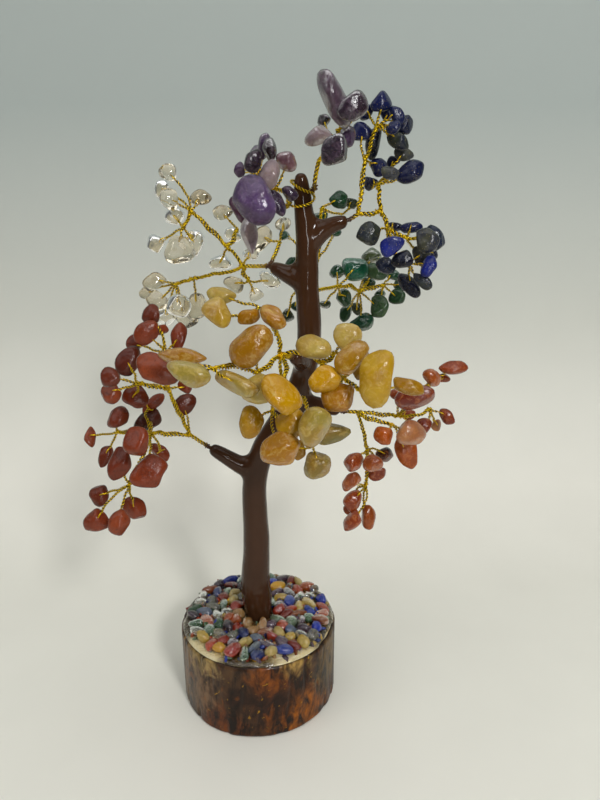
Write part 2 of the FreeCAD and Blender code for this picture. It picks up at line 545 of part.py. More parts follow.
class Chip:
    """A tumbled stone with flat faces: its middle, its corners from there and its faces' directions."""

    def __init__(self, middle, axes, lengths, seed, foot_share=None):
        self.middle = middle
        self.axes = axes
        self.first_middle = Vector(middle)
        chance = random.Random(seed)
        shares = self.rough_corners(chance, foot_share)
        spans = [max(abs(corner[axis]) for corner in shares) for axis in range(3)]
        self.corners = [
            axes[0] * (corner.x / spans[0] * lengths[0] / 2)
            + axes[1] * (corner.y / spans[1] * lengths[1] / 2)
            + axes[2] * (corner.z / spans[2] * lengths[2] / 2)
            for corner in shares
        ]
        self.reach = max(corner.Length for corner in self.corners)
        self.normals = []
        for first, second, third in UNIT_FACES:
            start = self.corners[first]
            normal = (self.corners[second] - start).cross(self.corners[third] - start)
            if normal.Length > 0:
                normal = unit(normal)
                self.normals.append(normal if normal.dot(start) > 0 else -normal)
        self.supports = [self.support(normal) for normal in self.normals]

    def rough_corners(self, chance, foot_share):
        flats = []
        for _ in range(CHIP_FLATS):
            direction = unit(Vector(*(chance.uniform(-1, 1) for _ in range(3))))
            flats.append((direction, chance.uniform(*CHIP_FLAT_SHARES)))
        taper = chance.uniform(-CHIP_TAPER_SHARE, CHIP_TAPER_SHARE)
        shares = []
        for corner in UNIT_CORNERS:
            share = unit(corner) * (1 + chance.uniform(-CHIP_SPREAD_SHARE, CHIP_SPREAD_SHARE))
            for direction, limit in flats:
                share -= direction * max(share.dot(direction) - limit, 0)
            share = Vector(share.x, share.y * (1 + taper * share.x), share.z * (1 - taper * share.x))
            if foot_share:
                share.z = max(share.z, -foot_share)
            shares.append(share)
        return shares

    def support(self, direction):
        return max(direction.dot(corner) for corner in self.corners)

    def clearance(self, point):
        """At least how far a point lies outside the chip."""
        away = point - self.middle
        distance = away.Length - self.reach
        if distance > self.reach:
            return distance
        return max(normal.dot(away) - support for normal, support in zip(self.normals, self.supports))

    def edge(self, direction):
        """How far the chip's surface lies from its middle in a direction."""
        ways = [
            support / normal.dot(direction)
            for normal, support in zip(self.normals, self.supports) if normal.dot(direction) > GRAZING_SHARE
        ]
        return min(ways)

    def solid(self):
        edges = {}
        faces = []
        for triple in UNIT_FACES:
            for pair in itertools.combinations(triple, 2):
                if pair not in edges:
                    edges[pair] = Part.makeLine(*(self.middle + self.corners[corner] for corner in pair))
            faces.append(Part.Face(Part.Wire([edges[pair] for pair in itertools.combinations(triple, 2)])))
        return Part.Solid(Part.Shell(faces))


def push_between(chip, other, gap, sight_moves):
    """The cheapest move that parts two chips by a gap, or None where they are clear."""
    apart = other.middle - chip.middle
    if apart.Length > chip.reach + other.reach + gap:
        return None
    cheapest = None
    for direction in chip.directions + other.directions:
        if direction.dot(apart) < 0:
            direction = -direction
        lacking = gap - (direction.dot(apart) - chip.support(direction) - other.support(-direction))
        if lacking <= 0:
            return None
        choices = [(lacking, direction * lacking)]
        along_sight = direction.dot(SIGHT_FORWARD)
        if sight_moves and abs(along_sight) > SIGHT_COST_SHARE:
            way = lacking / along_sight
            choices.append((abs(way) * SIGHT_COST_SHARE, SIGHT_FORWARD * way))
        for choice in choices:
            if cheapest is None or choice[0] < cheapest[0]:
                cheapest = choice
    return cheapest[1]


def settle(chips, own_gap, foreign_gap, walls, sight_moves):
    """Move chips a little at a time until every pair is apart and every wall's own push is answered."""
    for _ in range(SETTLE_ROUNDS):
        moved = False
        for chip, other in itertools.combinations(chips, 2):
            gap = own_gap if chip.spray == other.spray else foreign_gap
            push = push_between(chip, other, gap, sight_moves)
            if push:
                chip.middle = chip.middle - push / 2
                other.middle = other.middle + push / 2
                moved = True
        for chip in chips:
            for wall in walls:
                push = wall(chip)
                if push:
                    chip.middle = chip.middle + push
                    moved = True
        if not moved:
            break


# The sprays: knots where the table puts them, then chips, then stems and twigs that find clear ways.
TWIG_RADIUS = size("wire_diameter")
LOOP_WIRE_RADIUS = size("wire_diameter") / 2
SAMPLE_STEP = size("wire_diameter")
TRUNK_SAMPLE_STEP = size("stub_tip_radius")
LOOP_SAMPLES = 10
NEAR_CELL = size("chip_length")
START_TURNS_DEGREES = (0, 12, 24, 36, 48, 60, 74)
START_SIDES = 10
LOOP_ROUNDS = 5
END_ON_SHARE = 0.8
SLANT_LIMIT_DEGREES = 24
STRAIGHT_DEGREES = 1
STRAIGHT_BOW_SHARE = 0.1


def spray_chips(kind, layout, seed_start):
    chips = []
    for number, row in enumerate(layout["stone_pixels_and_shares"]):
        fork, pixel_x, pixel_y, front_share, length_share, width_share, turn = row
        chance = random.Random(seed_start + number)
        tilt = math.radians(chance.uniform(-CHIP_TILT_DEGREES, CHIP_TILT_DEGREES))
        level = ACROSS * math.cos(math.radians(turn)) + SIGHT_UPWARD * math.sin(math.radians(turn))
        along = level * math.cos(tilt) + SIGHT_FORWARD * math.sin(tilt)
        sideways = square_to(along, SIGHT_FORWARD.cross(level))
        depth_share = CHIP_DEPTH_SHARES[0] + CHIP_DEPTH_SHARES[1] * length_share
        lengths = (
            size("chip_length") * length_share, size("chip_length") * width_share,
            size("chip_thickness") * depth_share,
        )
        middle = seen_at(pixel_x, pixel_y, front_share)
        chip = Chip(middle, (along, sideways, along.cross(sideways)), lengths, seed_start + number)
        chip.spray = kind
        chip.number = number
        chip.fork = fork
        chip.directions = chip.normals
        chips.append(chip)
    return chips


def line_points(start, end, step):
    count = max(int((end - start).Length / step), 1)
    return [start + (end - start) * (index / count) for index in range(count + 1)]


def trunk_samples():
    """Points down the middle of the trunk and its stubs, each with the radius there."""
    samples = []
    runs = [(TRUNK_POINTS, TRUNK_RADII)]
    for start, elbow, end in STUBS.values():
        radii = [size("stub_radius"), size("stub_radius"), size("stub_tip_radius")]
        inside_end = end - unit(end - elbow) * size("stub_tip_radius")
        runs.append(([start, elbow, inside_end], radii))
    for points, radii in runs:
        for index in range(len(points) - 1):
            stations = line_points(points[index], points[index + 1], TRUNK_SAMPLE_STEP)
            for number, point in enumerate(stations):
                share = number / (len(stations) - 1)
                samples.append((point, radii[index] * (1 - share) + radii[index + 1] * share))
    return samples


def wall_of_points(samples, gap):
    """A push that keeps a chip clear of round things given as points and radii."""
    def push(chip):
        deepest = 0
        answer = None
        for point, radius in samples:
            if (point - chip.middle).Length > chip.reach + radius + gap:
                continue
            lacking = gap + radius - chip.clearance(point)
            if lacking > deepest:
                deepest = lacking
                answer = unit(chip.middle - point) * lacking
        return answer
    return push


def wall_of_spray(kind, own, foreign):
    """The push of a spray's wires, which stand nearer to their own chips than to those of others."""
    def push(chip):
        return own(chip) if chip.spray == kind else foreign(chip)
    return push


def wall_of_own_knot(knots, least):
    """A push that leaves room for the loop and the twig between a chip and its own knot."""
    def push(chip):
        knot = knots[chip.spray][chip.fork]
        lacking = least - chip.clearance(knot)
        if lacking <= 0:
            return None
        return unit(chip.middle - knot) * lacking
    return push


class WireRoom:
    """The wires, knots and trunk placed so far, as points with radii, found by the cell they lie in."""

    def __init__(self):
        self.cells = {}

    def cell(self, point):
        return tuple(int(math.floor(value / NEAR_CELL)) for value in point)

    def add(self, spray, samples):
        for point, radius in samples:
            self.cells.setdefault(self.cell(point), []).append((point, radius, spray))

    def near(self, point):
        middle = self.cell(point)
        for step in itertools.product((-1, 0, 1), repeat=3):
            key = (middle[0] + step[0], middle[1] + step[1], middle[2] + step[2])
            yield from self.cells.get(key, ())

    def lacking(self, spray, point, radius, own_gap):
        """How much a wire at a point lacks to be clear of what was placed, or zero."""
        worst = 0
        for other, other_radius, other_spray in self.near(point):
            gap = own_gap if other_spray in (spray, "trunk") else size("spray_gap")
            worst = max(worst, gap + radius + other_radius - (other - point).Length)
        return worst


def bend(start, direction, end):
    """The arc that leaves start in a direction and reaches end: its middle point, samples and arrival."""
    chord = end - start
    lean = direction.getAngle(chord)
    arrival = unit(chord) * (2 * math.cos(lean)) - direction
    if lean < math.radians(STRAIGHT_DEGREES):
        return (start + end) / 2, line_points(start, end, SAMPLE_STEP), unit(chord)
    sideways = square_to(direction, chord)
    radius = chord.Length ** 2 / (2 * chord.dot(sideways))
    count = max(int(2 * lean * radius / SAMPLE_STEP), 2)

    def at(angle):
        return start + direction * (radius * math.sin(angle)) + sideways * (radius * (1 - math.cos(angle)))
    return at(lean), [at(2 * lean * index / count) for index in range(count + 1)], unit(arrival)


def start_directions(chord):
    """Directions to leave a knot in, the straight one first, then wider and wider about it."""
    chord = unit(chord)
    like = UPWARD if abs(chord.z) < END_ON_SHARE else ACROSS
    first = square_to(chord, like)
    second = chord.cross(first)
    for degrees in START_TURNS_DEGREES:
        lean = math.radians(degrees)
        for side in range(START_SIDES if degrees else 1):
            turn = 2 * math.pi * side / START_SIDES
            outward = first * math.cos(turn) + second * math.sin(turn)
            yield chord * math.cos(lean) + outward * math.sin(lean)


def chips_lacking(chips, point, radius, spray, skip=None):
    worst = 0
    for chip in chips:
        if chip is skip or (point - chip.middle).Length > chip.reach + radius + size("spray_gap"):
            continue
        gap = size("chip_gap") if chip.spray == spray else size("spray_gap")
        worst = max(worst, gap + radius - chip.clearance(point))
    return worst


def route_stem(room, chips, spray, start_knot, end_knot, radius):
    """The clearest arc between two knots: its start, middle and end points and its samples."""
    best = None
    reach = size("knot_radius") + size("wire_gap")
    for direction in start_directions(end_knot - start_knot):
        start = start_knot + direction * reach
        chord = unit(end_knot - start_knot)
        arrival = chord * (2 * direction.dot(chord)) - direction
        end = end_knot - arrival * reach
        middle, samples, _ = bend(start, direction, end)
        lacking = 0
        for point in samples:
            lacking = max(lacking, room.lacking(spray, point, radius, size("wire_gap")))
            lacking = max(lacking, chips_lacking(chips, point, radius, spray))
            if best and lacking >= best[0]:
                break
        if best is None or lacking < best[0]:
            best = (lacking, (start, middle, end), samples)
        if best[0] == 0:
            break
    return best


def loop_place(chip, outward):
    """The middle of a chip's loop on its edge in a direction, and the loop's own axis."""
    middle = chip.middle + outward * (chip.edge(outward) - size("loop_bite") + size("loop_radius"))
    end_on = abs(outward.dot(chip.axes[2])) > END_ON_SHARE
    thin = square_to(outward, chip.axes[1] if end_on else chip.axes[2])
    return middle, outward.cross(thin), thin


def loop_samples(middle, outward, thin):
    """Points round the part of a loop that stands out of its chip."""
    samples = []
    for index in range(LOOP_SAMPLES + 1):
        turn = math.pi * (index / LOOP_SAMPLES - 0.5)
        samples.append(middle + (outward * math.cos(turn) + thin * math.sin(turn)) * size("loop_radius"))
    return samples


def route_twig(room, chips, chip, knot):
    """The clearest way from a knot to a chip: the twig's points, the loop's place and the samples."""
    best = None
    reach = size("knot_radius") + size("wire_gap")
    stand_off = size("loop_radius") + LOOP_WIRE_RADIUS + size("wire_gap")
    far = (knot - chip.middle).Length + 2 * NEAR_CELL
    near = [other for other in chips if (other.middle - chip.middle).Length < far]
    for direction in start_directions(chip.middle - knot):
        start = knot + direction * reach
        outward = unit(knot - chip.middle)
        for _ in range(LOOP_ROUNDS):
            centre, axis, thin = loop_place(chip, outward)
            end = centre + outward * stand_off
            chord = unit(end - start)
            arrival = chord * (2 * direction.dot(chord)) - direction
            outward = unit(outward - arrival)
        centre, axis, thin = loop_place(chip, outward)
        end = centre + outward * stand_off
        if (end - start).Length < size("twig_least") or direction.dot(end - start) <= 0:
            continue
        middle, samples, arrival = bend(start, direction, end)
        lacking = max(0, math.cos(math.radians(SLANT_LIMIT_DEGREES)) + arrival.dot(outward))
        hoop = loop_samples(centre, outward, thin)
        for point in hoop:
            lacking = max(lacking, room.lacking(chip.spray, point, LOOP_WIRE_RADIUS, size("wire_gap")))
            lacking = max(lacking, chips_lacking(near, point, LOOP_WIRE_RADIUS, chip.spray, chip))
        for point in samples:
            if best and lacking >= best[0]:
                break
            lacking = max(lacking, room.lacking(chip.spray, point, TWIG_RADIUS, size("wire_gap")))
            lacking = max(lacking, chips_lacking(near, point, TWIG_RADIUS, chip.spray))
        if best is None or lacking < best[0]:
            best = (lacking, (start, middle, end), samples, centre, axis, hoop)
        if best[0] == 0:
            break
    return best


def tube(points, radius):
    """A round wire along the arc through three points, or straight where they lie nearly in line."""
    start, middle, end = points
    bow = (middle - (start + end) / 2).Length
    if bow < radius * STRAIGHT_BOW_SHARE:
        return Part.makeCylinder(radius, (end - start).Length, start, end - start)
    arc = Part.Arc(start, middle, end)
    tangent = arc.tangent(arc.FirstParameter)[0]
    profile = Part.Wire([Part.makeCircle(radius, start, tangent)])
    return Part.Wire([arc.toShape()]).makePipeShell([profile], True, False)


def add_solids(name, solids):
    feature = document.addObject("Part::Feature", name)
    feature.Shape = Part.makeCompound(solids)
    feature.Placement = FreeCAD.Placement()
    return feature


def add_group(name, members):
    group = document.addObject("Part::Compound", name)
    group.Links = members
    return group


def add_rings(name, places, radius_formula):
    """A group of wire rings of one size at given middles and axes."""
    rings = []
    for number, (middle, axis) in enumerate(places):
        ring = document.addObject("Part::Torus", f"{name}_{number}")
        ring.setExpression("Radius1", "sizes.loop_radius")
        ring.setExpression("Radius2", radius_formula)
        ring.Placement = FreeCAD.Placement(middle, FreeCAD.Rotation(UPWARD, axis))
        rings.append(ring)
    return add_group(name, rings)


def stem_radius(number):
    return size("stem_radius") if number == 1 else size("bough_radius")


def knot_middles(layout):
    rows = layout["fork_pixels_and_shares"]
    return [spray_root(layout)] + [seen_at(*row[1:]) for row in rows[1:]]


def lay_out_sprays():
    """Every knot and every chip of every spray, settled clear of each other and of the trunk."""
    knots = {kind: knot_middles(layout) for kind, layout in SPRAYS.items()}
    chips = []
    for layout_number, (kind, layout) in enumerate(SPRAYS.items()):
        chips += spray_chips(kind, layout, CHIP_SEED_STEP * (layout_number + 1))
    own_room = size("knot_radius") + 2 * size("loop_radius") - size("loop_bite") + LOOP_WIRE_RADIUS
    own_room += 2 * size("wire_gap") + size("twig_least")
    walls = [
        wall_of_points(trunk_samples(), size("spray_gap")),
        wall_of_own_knot(knots, own_room),
    ]
    for kind, layout in SPRAYS.items():
        samples = [(knot, size("knot_radius")) for knot in knots[kind]]
        for number, row in enumerate(layout["fork_pixels_and_shares"]):
            if row[0] is None:
                continue
            line = line_points(knots[kind][row[0]], knots[kind][number], size("knot_radius"))
            samples += [(point, stem_radius(number)) for point in line]
        own = wall_of_points(samples, size("chip_gap"))
        foreign = wall_of_points(samples, size("spray_gap"))
        walls.append(wall_of_spray(kind, own, foreign))
    settle(chips, size("chip_gap"), size("spray_gap"), walls, True)
    return knots, chips


def route_sprays(knots, chips):
    """Find every stem, twig and loop a clear way, and keep each on its spray or its chip."""
    room = WireRoom()
    room.add("trunk", trunk_samples())
    short = []
    stems = {kind: [] for kind in SPRAYS}
    for kind, layout in SPRAYS.items():
        for number, row in enumerate(layout["fork_pixels_and_shares"]):
            if row[0] is None:
                continue
            radius = stem_radius(number)
            lacking, points, samples = route_stem(
                room, chips, kind, knots[kind][row[0]], knots[kind][number], radius,
            )
            if lacking > 0:
                short.append(f"{kind} stem {number} by {lacking:.2f}")
            room.add(kind, [(point, radius) for point in samples])
            stems[kind].append((points, radius))
    for chip in sorted(chips, key=lambda chip: chip.clearance(knots[chip.spray][chip.fork])):
        found = route_twig(room, chips, chip, knots[chip.spray][chip.fork])
        lacking, chip.twig, samples, loop_middle, loop_axis, hoop = found
        if lacking > 0:
            short.append(f"{chip.spray} twig {chip.number} by {lacking:.2f}")
        room.add(chip.spray, [(point, TWIG_RADIUS) for point in samples])
        room.add(chip.spray, [(point, LOOP_WIRE_RADIUS) for point in hoop])
        chip.loop = (loop_middle, loop_axis)
    print("wires that lack room:", short)
    drifts = [(chip.middle - chip.first_middle).Length for chip in chips]
    print(f"chips settled by at most {max(drifts):.1f}, on average {sum(drifts) / len(drifts):.1f}")
    return stems


def make_sprays():
    knots, chips = lay_out_sprays()
    stems = route_sprays(knots, chips)
    parts = []
    for kind in SPRAYS:
        own = [chip for chip in chips if chip.spray == kind]
        balls = []
        for number, knot in enumerate(knots[kind]):
            ball = document.addObject("Part::Sphere", f"{kind}_knot_{number}")
            ball.setExpression("Radius", "sizes.knot_radius")
            ball.Placement = FreeCAD.Placement(knot, FreeCAD.Rotation())
            balls.append(ball)
        stones = document.addObject("Part::Cut", f"{kind}_stones")
        stones.Base = add_solids(f"{kind}_rough_stones", [chip.solid() for chip in own])
        stones.Tool = add_rings(
            f"{kind}_drill", [chip.loop for chip in own], "sizes.wire_diameter / 2 + sizes.drill_clearance",
        )
        parts += [
            add_group(f"{kind}_knots", balls),
            add_solids(f"{kind}_stems", [tube(points, radius) for points, radius in stems[kind]]),
            add_solids(f"{kind}_twigs", [tube(chip.twig, TWIG_RADIUS) for chip in own]),
            add_rings(f"{kind}_loops", [chip.loop for chip in own], "sizes.wire_diameter / 2"),
            stones,
        ]
    return parts


def make_ground_chips():
    """Chips glued round the trunk's foot, each flat on the glue, in rings of a sunflower's seeds."""
    bed_top = size("log_height") + size("glue_thickness")
    outer = size("log_radius") - size("glue_margin")
    inner = size("trunk_foot_radius") + size("ground_chip_gap")
    footprint = size("ground_chip_length") ** 2 * sum(GROUND_WIDTH_SHARES) / 2 * math.pi / 4
    count = int(GROUND_COVER_SHARE * math.pi * (outer ** 2 - inner ** 2) / footprint)
    chance = random.Random(count)
    turns = [math.pi * step / GROUND_DIRECTIONS for step in range(GROUND_DIRECTIONS)]
    level_directions = [Vector(math.cos(turn), math.sin(turn), 0) for turn in turns]
    kinds = [GROUND_KINDS[number % len(GROUND_KINDS)] for number in range(count)]
    chance.shuffle(kinds)
    chips = []
    for number in range(count):
        ring = math.sqrt(inner ** 2 + (outer ** 2 - inner ** 2) * (number + 0.5) / count)
        turn = number * GOLDEN_ANGLE
        heading = chance.uniform(0, math.pi)
        along = Vector(math.cos(heading), math.sin(heading), 0)
        length = size("ground_chip_length") * chance.uniform(*GROUND_LENGTH_SHARES)
        width = size("ground_chip_length") * chance.uniform(*GROUND_WIDTH_SHARES)
        depth = size("ground_chip_length") * chance.uniform(*GROUND_DEPTH_SHARES)
        place = Vector(ring * math.cos(turn), ring * math.sin(turn), bed_top)
        axes = (along, UPWARD.cross(along), UPWARD)
        chip = Chip(place, axes, (length, width, depth), number, GROUND_FOOT_SHARE)
        chip.middle.z = bed_top - min(corner.z for corner in chip.corners)
        chip.spray = "ground"
        chip.kind = kinds[number]
        chip.directions = level_directions
        chips.append(chip)

    def keep_on_bed(chip):
        flat = Vector(chip.middle.x, chip.middle.y, 0)
        outward = unit(flat)
        over = flat.Length + chip.support(outward) - outer
        under = inner - (flat.Length - chip.support(-outward))
        if over > 0:
            return -outward * over
        return outward * under if under > 0 else None
    settle(chips, size("ground_chip_gap"), size("ground_chip_gap"), [keep_on_bed], False)
    return [
        add_solids(f"ground_{kind}", [chip.solid() for chip in chips if chip.kind == kind])
        for kind in GROUND_KINDS
    ]


def main():
    parts = [
        make_log_core(),
        make_bark_ring(),
        make_disc(
            "glue_bed", "sizes.log_height", "sizes.log_radius - sizes.glue_margin",
            "sizes.trunk_peg_radius + sizes.socket_clearance", "sizes.glue_thickness",
        ),
    ]
    parts += make_ground_chips()
    parts += make_trunk()
    parts += make_sprays()
    document.recompute()
    for item in document.Objects:
        if "Invalid" in item.State or "Error" in item.State:
            raise RuntimeError(f"{item.Name} could not be built: {item.State}")
    for item in parts:
        item.Label = item.Name
        if item.Shape.isNull() or not item.Shape.isValid():
            raise RuntimeError(f"{item.Label} has no valid shape")
    os.makedirs(PARTS_FOLDER, exist_ok=True)
    for item in parts:
        item.Shape.exportStep(f"{PARTS_FOLDER}/{item.Label}.step")
        print(f"{item.Label}: {len(item.Shape.Solids)} solids, {item.Shape.Volume:.1f} cubic millimetres")


main()
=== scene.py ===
# %% [markdown]
# # A gemstone tree
# The real ornament is a slice of branch with a lacquered trunk stuck in it. Eight bundles of brass
# wire leave the trunk, split at forks, and end in loops that hold tumbled stone chips.
# The CAD model gives every place and size. This script gives each piece its real surface.

# %% Load the fixed frame
import math

import bmesh
import bpy
import numpy as np
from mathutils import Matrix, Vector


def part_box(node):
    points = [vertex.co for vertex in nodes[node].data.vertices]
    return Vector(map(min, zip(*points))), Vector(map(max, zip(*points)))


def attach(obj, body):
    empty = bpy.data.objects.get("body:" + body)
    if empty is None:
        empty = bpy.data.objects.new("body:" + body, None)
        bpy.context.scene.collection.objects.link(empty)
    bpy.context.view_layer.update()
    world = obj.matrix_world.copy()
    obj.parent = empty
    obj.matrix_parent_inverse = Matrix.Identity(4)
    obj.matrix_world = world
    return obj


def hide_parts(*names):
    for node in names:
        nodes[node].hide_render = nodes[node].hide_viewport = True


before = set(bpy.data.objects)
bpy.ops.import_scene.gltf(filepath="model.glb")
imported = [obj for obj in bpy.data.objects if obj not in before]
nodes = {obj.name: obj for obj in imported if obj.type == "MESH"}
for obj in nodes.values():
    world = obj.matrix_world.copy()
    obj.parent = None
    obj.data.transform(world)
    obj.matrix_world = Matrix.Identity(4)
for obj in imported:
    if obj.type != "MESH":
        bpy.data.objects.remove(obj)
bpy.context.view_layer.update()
MM = 0.001
SPRAYS = [name[:-len("_stones")] for name in nodes if name.endswith("_stones")]
print("sprays:", SPRAYS)

# %% [markdown]
# ## The camera comes first
# The photograph looks slightly down on the tree from close by, with a wide view. With the camera
# in place, a spot in the photograph can be matched with a stone in space.
# Blender's focal length belongs to the longer side of the frame, which here is its height.

# %% Camera
PICTURE_WIDTH, PICTURE_HEIGHT = 600, 800
FOCAL_PIXELS = 620
DOWN = math.radians(17)
EYE = np.array([21.3, -275, 241]) * MM
camera = bpy.data.objects.new("camera", bpy.data.cameras.new("camera"))
bpy.context.scene.collection.objects.link(camera)
camera.location = EYE
camera.rotation_euler = (math.pi / 2 - DOWN, 0, 0)
camera.data.sensor_width = 36
camera.data.lens = FOCAL_PIXELS / PICTURE_HEIGHT * camera.data.sensor_width
camera.data.clip_start = 0.01
bpy.context.scene.camera = camera


def pixel_of(point):
    """Where the photograph shows a point."""
    offset = np.asarray(point) - EYE
    scale = FOCAL_PIXELS / (offset @ (0, math.cos(DOWN), -math.sin(DOWN)))
    height = offset @ (0, math.sin(DOWN), math.cos(DOWN))
    return np.array([PICTURE_WIDTH / 2 + scale * offset[0], PICTURE_HEIGHT / 2 - scale * height])


# %% [markdown]
# ## Reading the solids
# A CAD node holds many loose solids, such as all stones of one spray. Its mesh is loose triangles,
# so equal corners are merged first. Then every triangle passes its lowest corner number on to its
# neighbours until each solid has one number of its own.

# %% Split a node into its solids


def rows_of(items, field, kind=float):
    """A field of three numbers of each vertex or triangle of a mesh, as rows."""
    rows = np.empty(len(items) * 3, dtype=kind)
    items.foreach_get(field, rows)
    return rows.reshape(-1, 3)


def loose_pieces(name):
    """The corners and triangles of each separate solid of a CAD node."""
    mesh = nodes[name].data
    mesh.calc_loop_triangles()
    merged, place = np.unique(rows_of(mesh.vertices, "co").round(7), axis=0, return_inverse=True)
    triangles = place.ravel()[rows_of(mesh.loop_triangles, "vertices", int)]
    label = np.arange(len(merged))
    while True:
        lowest = label[triangles].min(axis=1)
        spread = label.copy()
        np.minimum.at(spread, triangles.ravel(), np.repeat(lowest, 3))
        spread = spread[spread]
        if (spread == label).all():
            break
        label = spread
    pieces = []
    for number in np.unique(label[triangles[:, 0]]):
        own = triangles[label[triangles[:, 0]] == number]
        used, renumbered = np.unique(own, return_inverse=True)
        pieces.append((merged[used], renumbered.reshape(-1, 3)))
    return pieces


def facets(corners, triangles):
    """Unit normal, area and middle of each triangle."""
    first, second, third = (corners[triangles[:, side]] for side in range(3))
    cross = np.cross(second - first, third - first)
    length = np.linalg.norm(cross, axis=1)
    normals = cross / np.maximum(length, 1e-15)[:, None]
    return normals, length / 2, (first + second + third) / 3


def box_middle(corners):
    return (corners.min(axis=0) + corners.max(axis=0)) / 2


print("stones in each spray:", {spray: len(loose_pieces(spray + "_stones")) for spray in SPRAYS})

# %% [markdown]
# ## The lines that the wires follow
# Each CAD wire is a plain round bar along an arc. The real one is several thin wires laid together,
# so all that is needed from the bar is its centre line. A bar has a flat disc at each end: a group
# of triangles in one plane whose corners all lie one radius from their middle. The two discs give
# the ends and the direction that the arc starts in, and one arc fits those.

# %% Centre lines of the wires
WIRE_STEP = 0.5 * MM
SAME_PLANE = 0.01 * MM
SAME_FACING = 0.9995
LEAST_RIM_CORNERS = 7
NEARLY_ROUND = 0.05
NEARLY_STRAIGHT = 0.02


def unit(vector):
    return vector / np.linalg.norm(vector)


def end_discs(corners, triangles):
    """Middle and outward normal of the two flat discs that close a bar."""
    normals, areas, centres = facets(corners, triangles)
    found = []
    left = areas > 0
    while left.any() and len(found) < 2:
        first = np.argmax(np.where(left, areas, 0))
        heights = (centres - centres[first]) @ normals[first]
        flat = left & (normals @ normals[first] > SAME_FACING) & (abs(heights) < SAME_PLANE)
        left &= ~flat
        rim = corners[np.unique(triangles[flat])]
        from_middle = np.linalg.norm(rim - rim.mean(axis=0), axis=1)
        if len(rim) >= LEAST_RIM_CORNERS and np.ptp(from_middle) < NEARLY_ROUND * from_middle.mean():
            found.append((rim.mean(axis=0), normals[first]))
    return found


def arc(start, direction, end):
    """Points along the arc that leaves start in a direction and reaches end."""
    chord = end - start
    along = chord @ direction
    lean = math.acos(min(along / np.linalg.norm(chord), 1))
    count = max(int(np.linalg.norm(chord) / WIRE_STEP), 2)
    if lean < NEARLY_STRAIGHT:
        return start + np.linspace(0, 1, count + 1)[:, None] * chord
    sideways = unit(chord - direction * along)
    radius = (chord @ chord) / (2 * (chord @ sideways))
    turns = np.linspace(0, 2 * lean, count + 1)[:, None]
    return start + radius * (np.sin(turns) * direction + (1 - np.cos(turns)) * sideways)


def lines_of(name):
    """The centre line of each wire of a node."""
    lines = []
    for corners, triangles in loose_pieces(name):
        discs = end_discs(corners, triangles)
        if len(discs) == 2:
            (start, out_of_start), (end, _) = discs
            lines.append(arc(start, -out_of_start, end))
        else:
            print("no ends found on a wire of", name)
    return lines


trunk_corners = np.concatenate([corners for corners, _ in loose_pieces("trunk_coat")])
knots, stems, twigs, loops = {}, {}, {}, {}
for spray in SPRAYS:
    knots[spray] = np.array([box_middle(corners) for corners, _ in loose_pieces(spray + "_knots")])
    stems[spray] = lines_of(spray + "_stems")
    twigs[spray] = lines_of(spray + "_twigs")
    loops[spray] = []
    for corners, _ in loose_pieces(spray + "_loops"):
        _, _, axes = np.linalg.svd(corners - corners.mean(axis=0), full_matrices=False)
        loops[spray].append((box_middle(corners), axes[2]))
    print(spray, len(knots[spray]), "forks", len(stems[spray]), "stems", len(twigs[spray]), "twigs")

# %% [markdown]
# ## Joining the lines
# In the CAD model the bars stop just short of a small ball at each fork. The real wires have no
# balls: they run into each other. So every line is lengthened to the middle of its fork, and one
# more stem runs from the first fork a little way into the tip of the trunk's branch.

# %% Lengthen each line into its forks
KNOT_REACH = 2.2 * MM
STUB_END_DEPTH = 1.2 * MM
ROOT_SINK = 0.8 * MM
ROOT_POINTS = 5


def into_forks(line, forks):
    """The line with the middle of the fork added at each end that stops at one."""
    for end, first in ((0, True), (-1, False)):
        gaps = np.linalg.norm(forks - line[end], axis=1)
        if gaps.min() < KNOT_REACH:
            fork = forks[gaps.argmin()][None]
            line = np.concatenate([fork, line] if first else [line, fork])
    return line


roots = {}
for spray in SPRAYS:
    stems[spray] = [into_forks(line, knots[spray]) for line in stems[spray]]
    twigs[spray] = [into_forks(line, knots[spray]) for line in twigs[spray]]
    gaps = [np.linalg.norm(trunk_corners - knot, axis=1).min() for knot in knots[spray]]
    root = knots[spray][int(np.argmin(gaps))]
    from_root = np.linalg.norm(trunk_corners - root, axis=1)
    inward = unit(trunk_corners[from_root < min(gaps) + STUB_END_DEPTH].mean(axis=0) - root)
    roots[spray] = (root, inward)
    stems[spray].append(root + np.linspace(0, min(gaps) + ROOT_SINK, ROOT_POINTS)[:, None] * inward)
    print(spray, "starts", round(float(min(gaps) / MM), 2), "mm from the trunk")

# %% [markdown]
# ## One helper for nodes, one for colours
# Materials and Geometry Nodes trees are both made of nodes, so one small function adds any node
# with its settings, fills its inputs with numbers, colours or other nodes' outputs, and returns
# one of its own outputs. A colour on screen is written in sRGB, while the renderer counts light in
# a linear scale, so one function turns the first into the second.

# %% Node, colour and mesh helpers


def linear(hex_colour):
    """An sRGB colour such as #c79a1c as linear red, green, blue and a full alpha."""
    shares = [int(hex_colour[place:place + 2], 16) / 255 for place in (1, 3, 5)]
    return tuple(s / 12.92 if s <= 0.04045 else ((s + 0.055) / 1.055) ** 2.4 for s in shares) + (1.0,)


def fill(node, inputs):
    """Fill a node's inputs with values, #rrggbb colours or other nodes' outputs."""
    for place, value in inputs.items():
        if isinstance(value, bpy.types.NodeSocket):
            node.id_data.links.new(value, node.inputs[place])
        elif isinstance(value, str) and value.startswith("#"):
            node.inputs[place].default_value = linear(value)
        else:
            node.inputs[place].default_value = value


def add(tree, kind, inputs=None, out=0, **settings):
    """Add a node with its settings and inputs. Returns one of its outputs, or the node for out=None."""
    node = tree.nodes.new(kind)
    for name, value in settings.items():
        setattr(node, name, value)
    fill(node, inputs or {})
    return node if out is None else node.outputs[out]


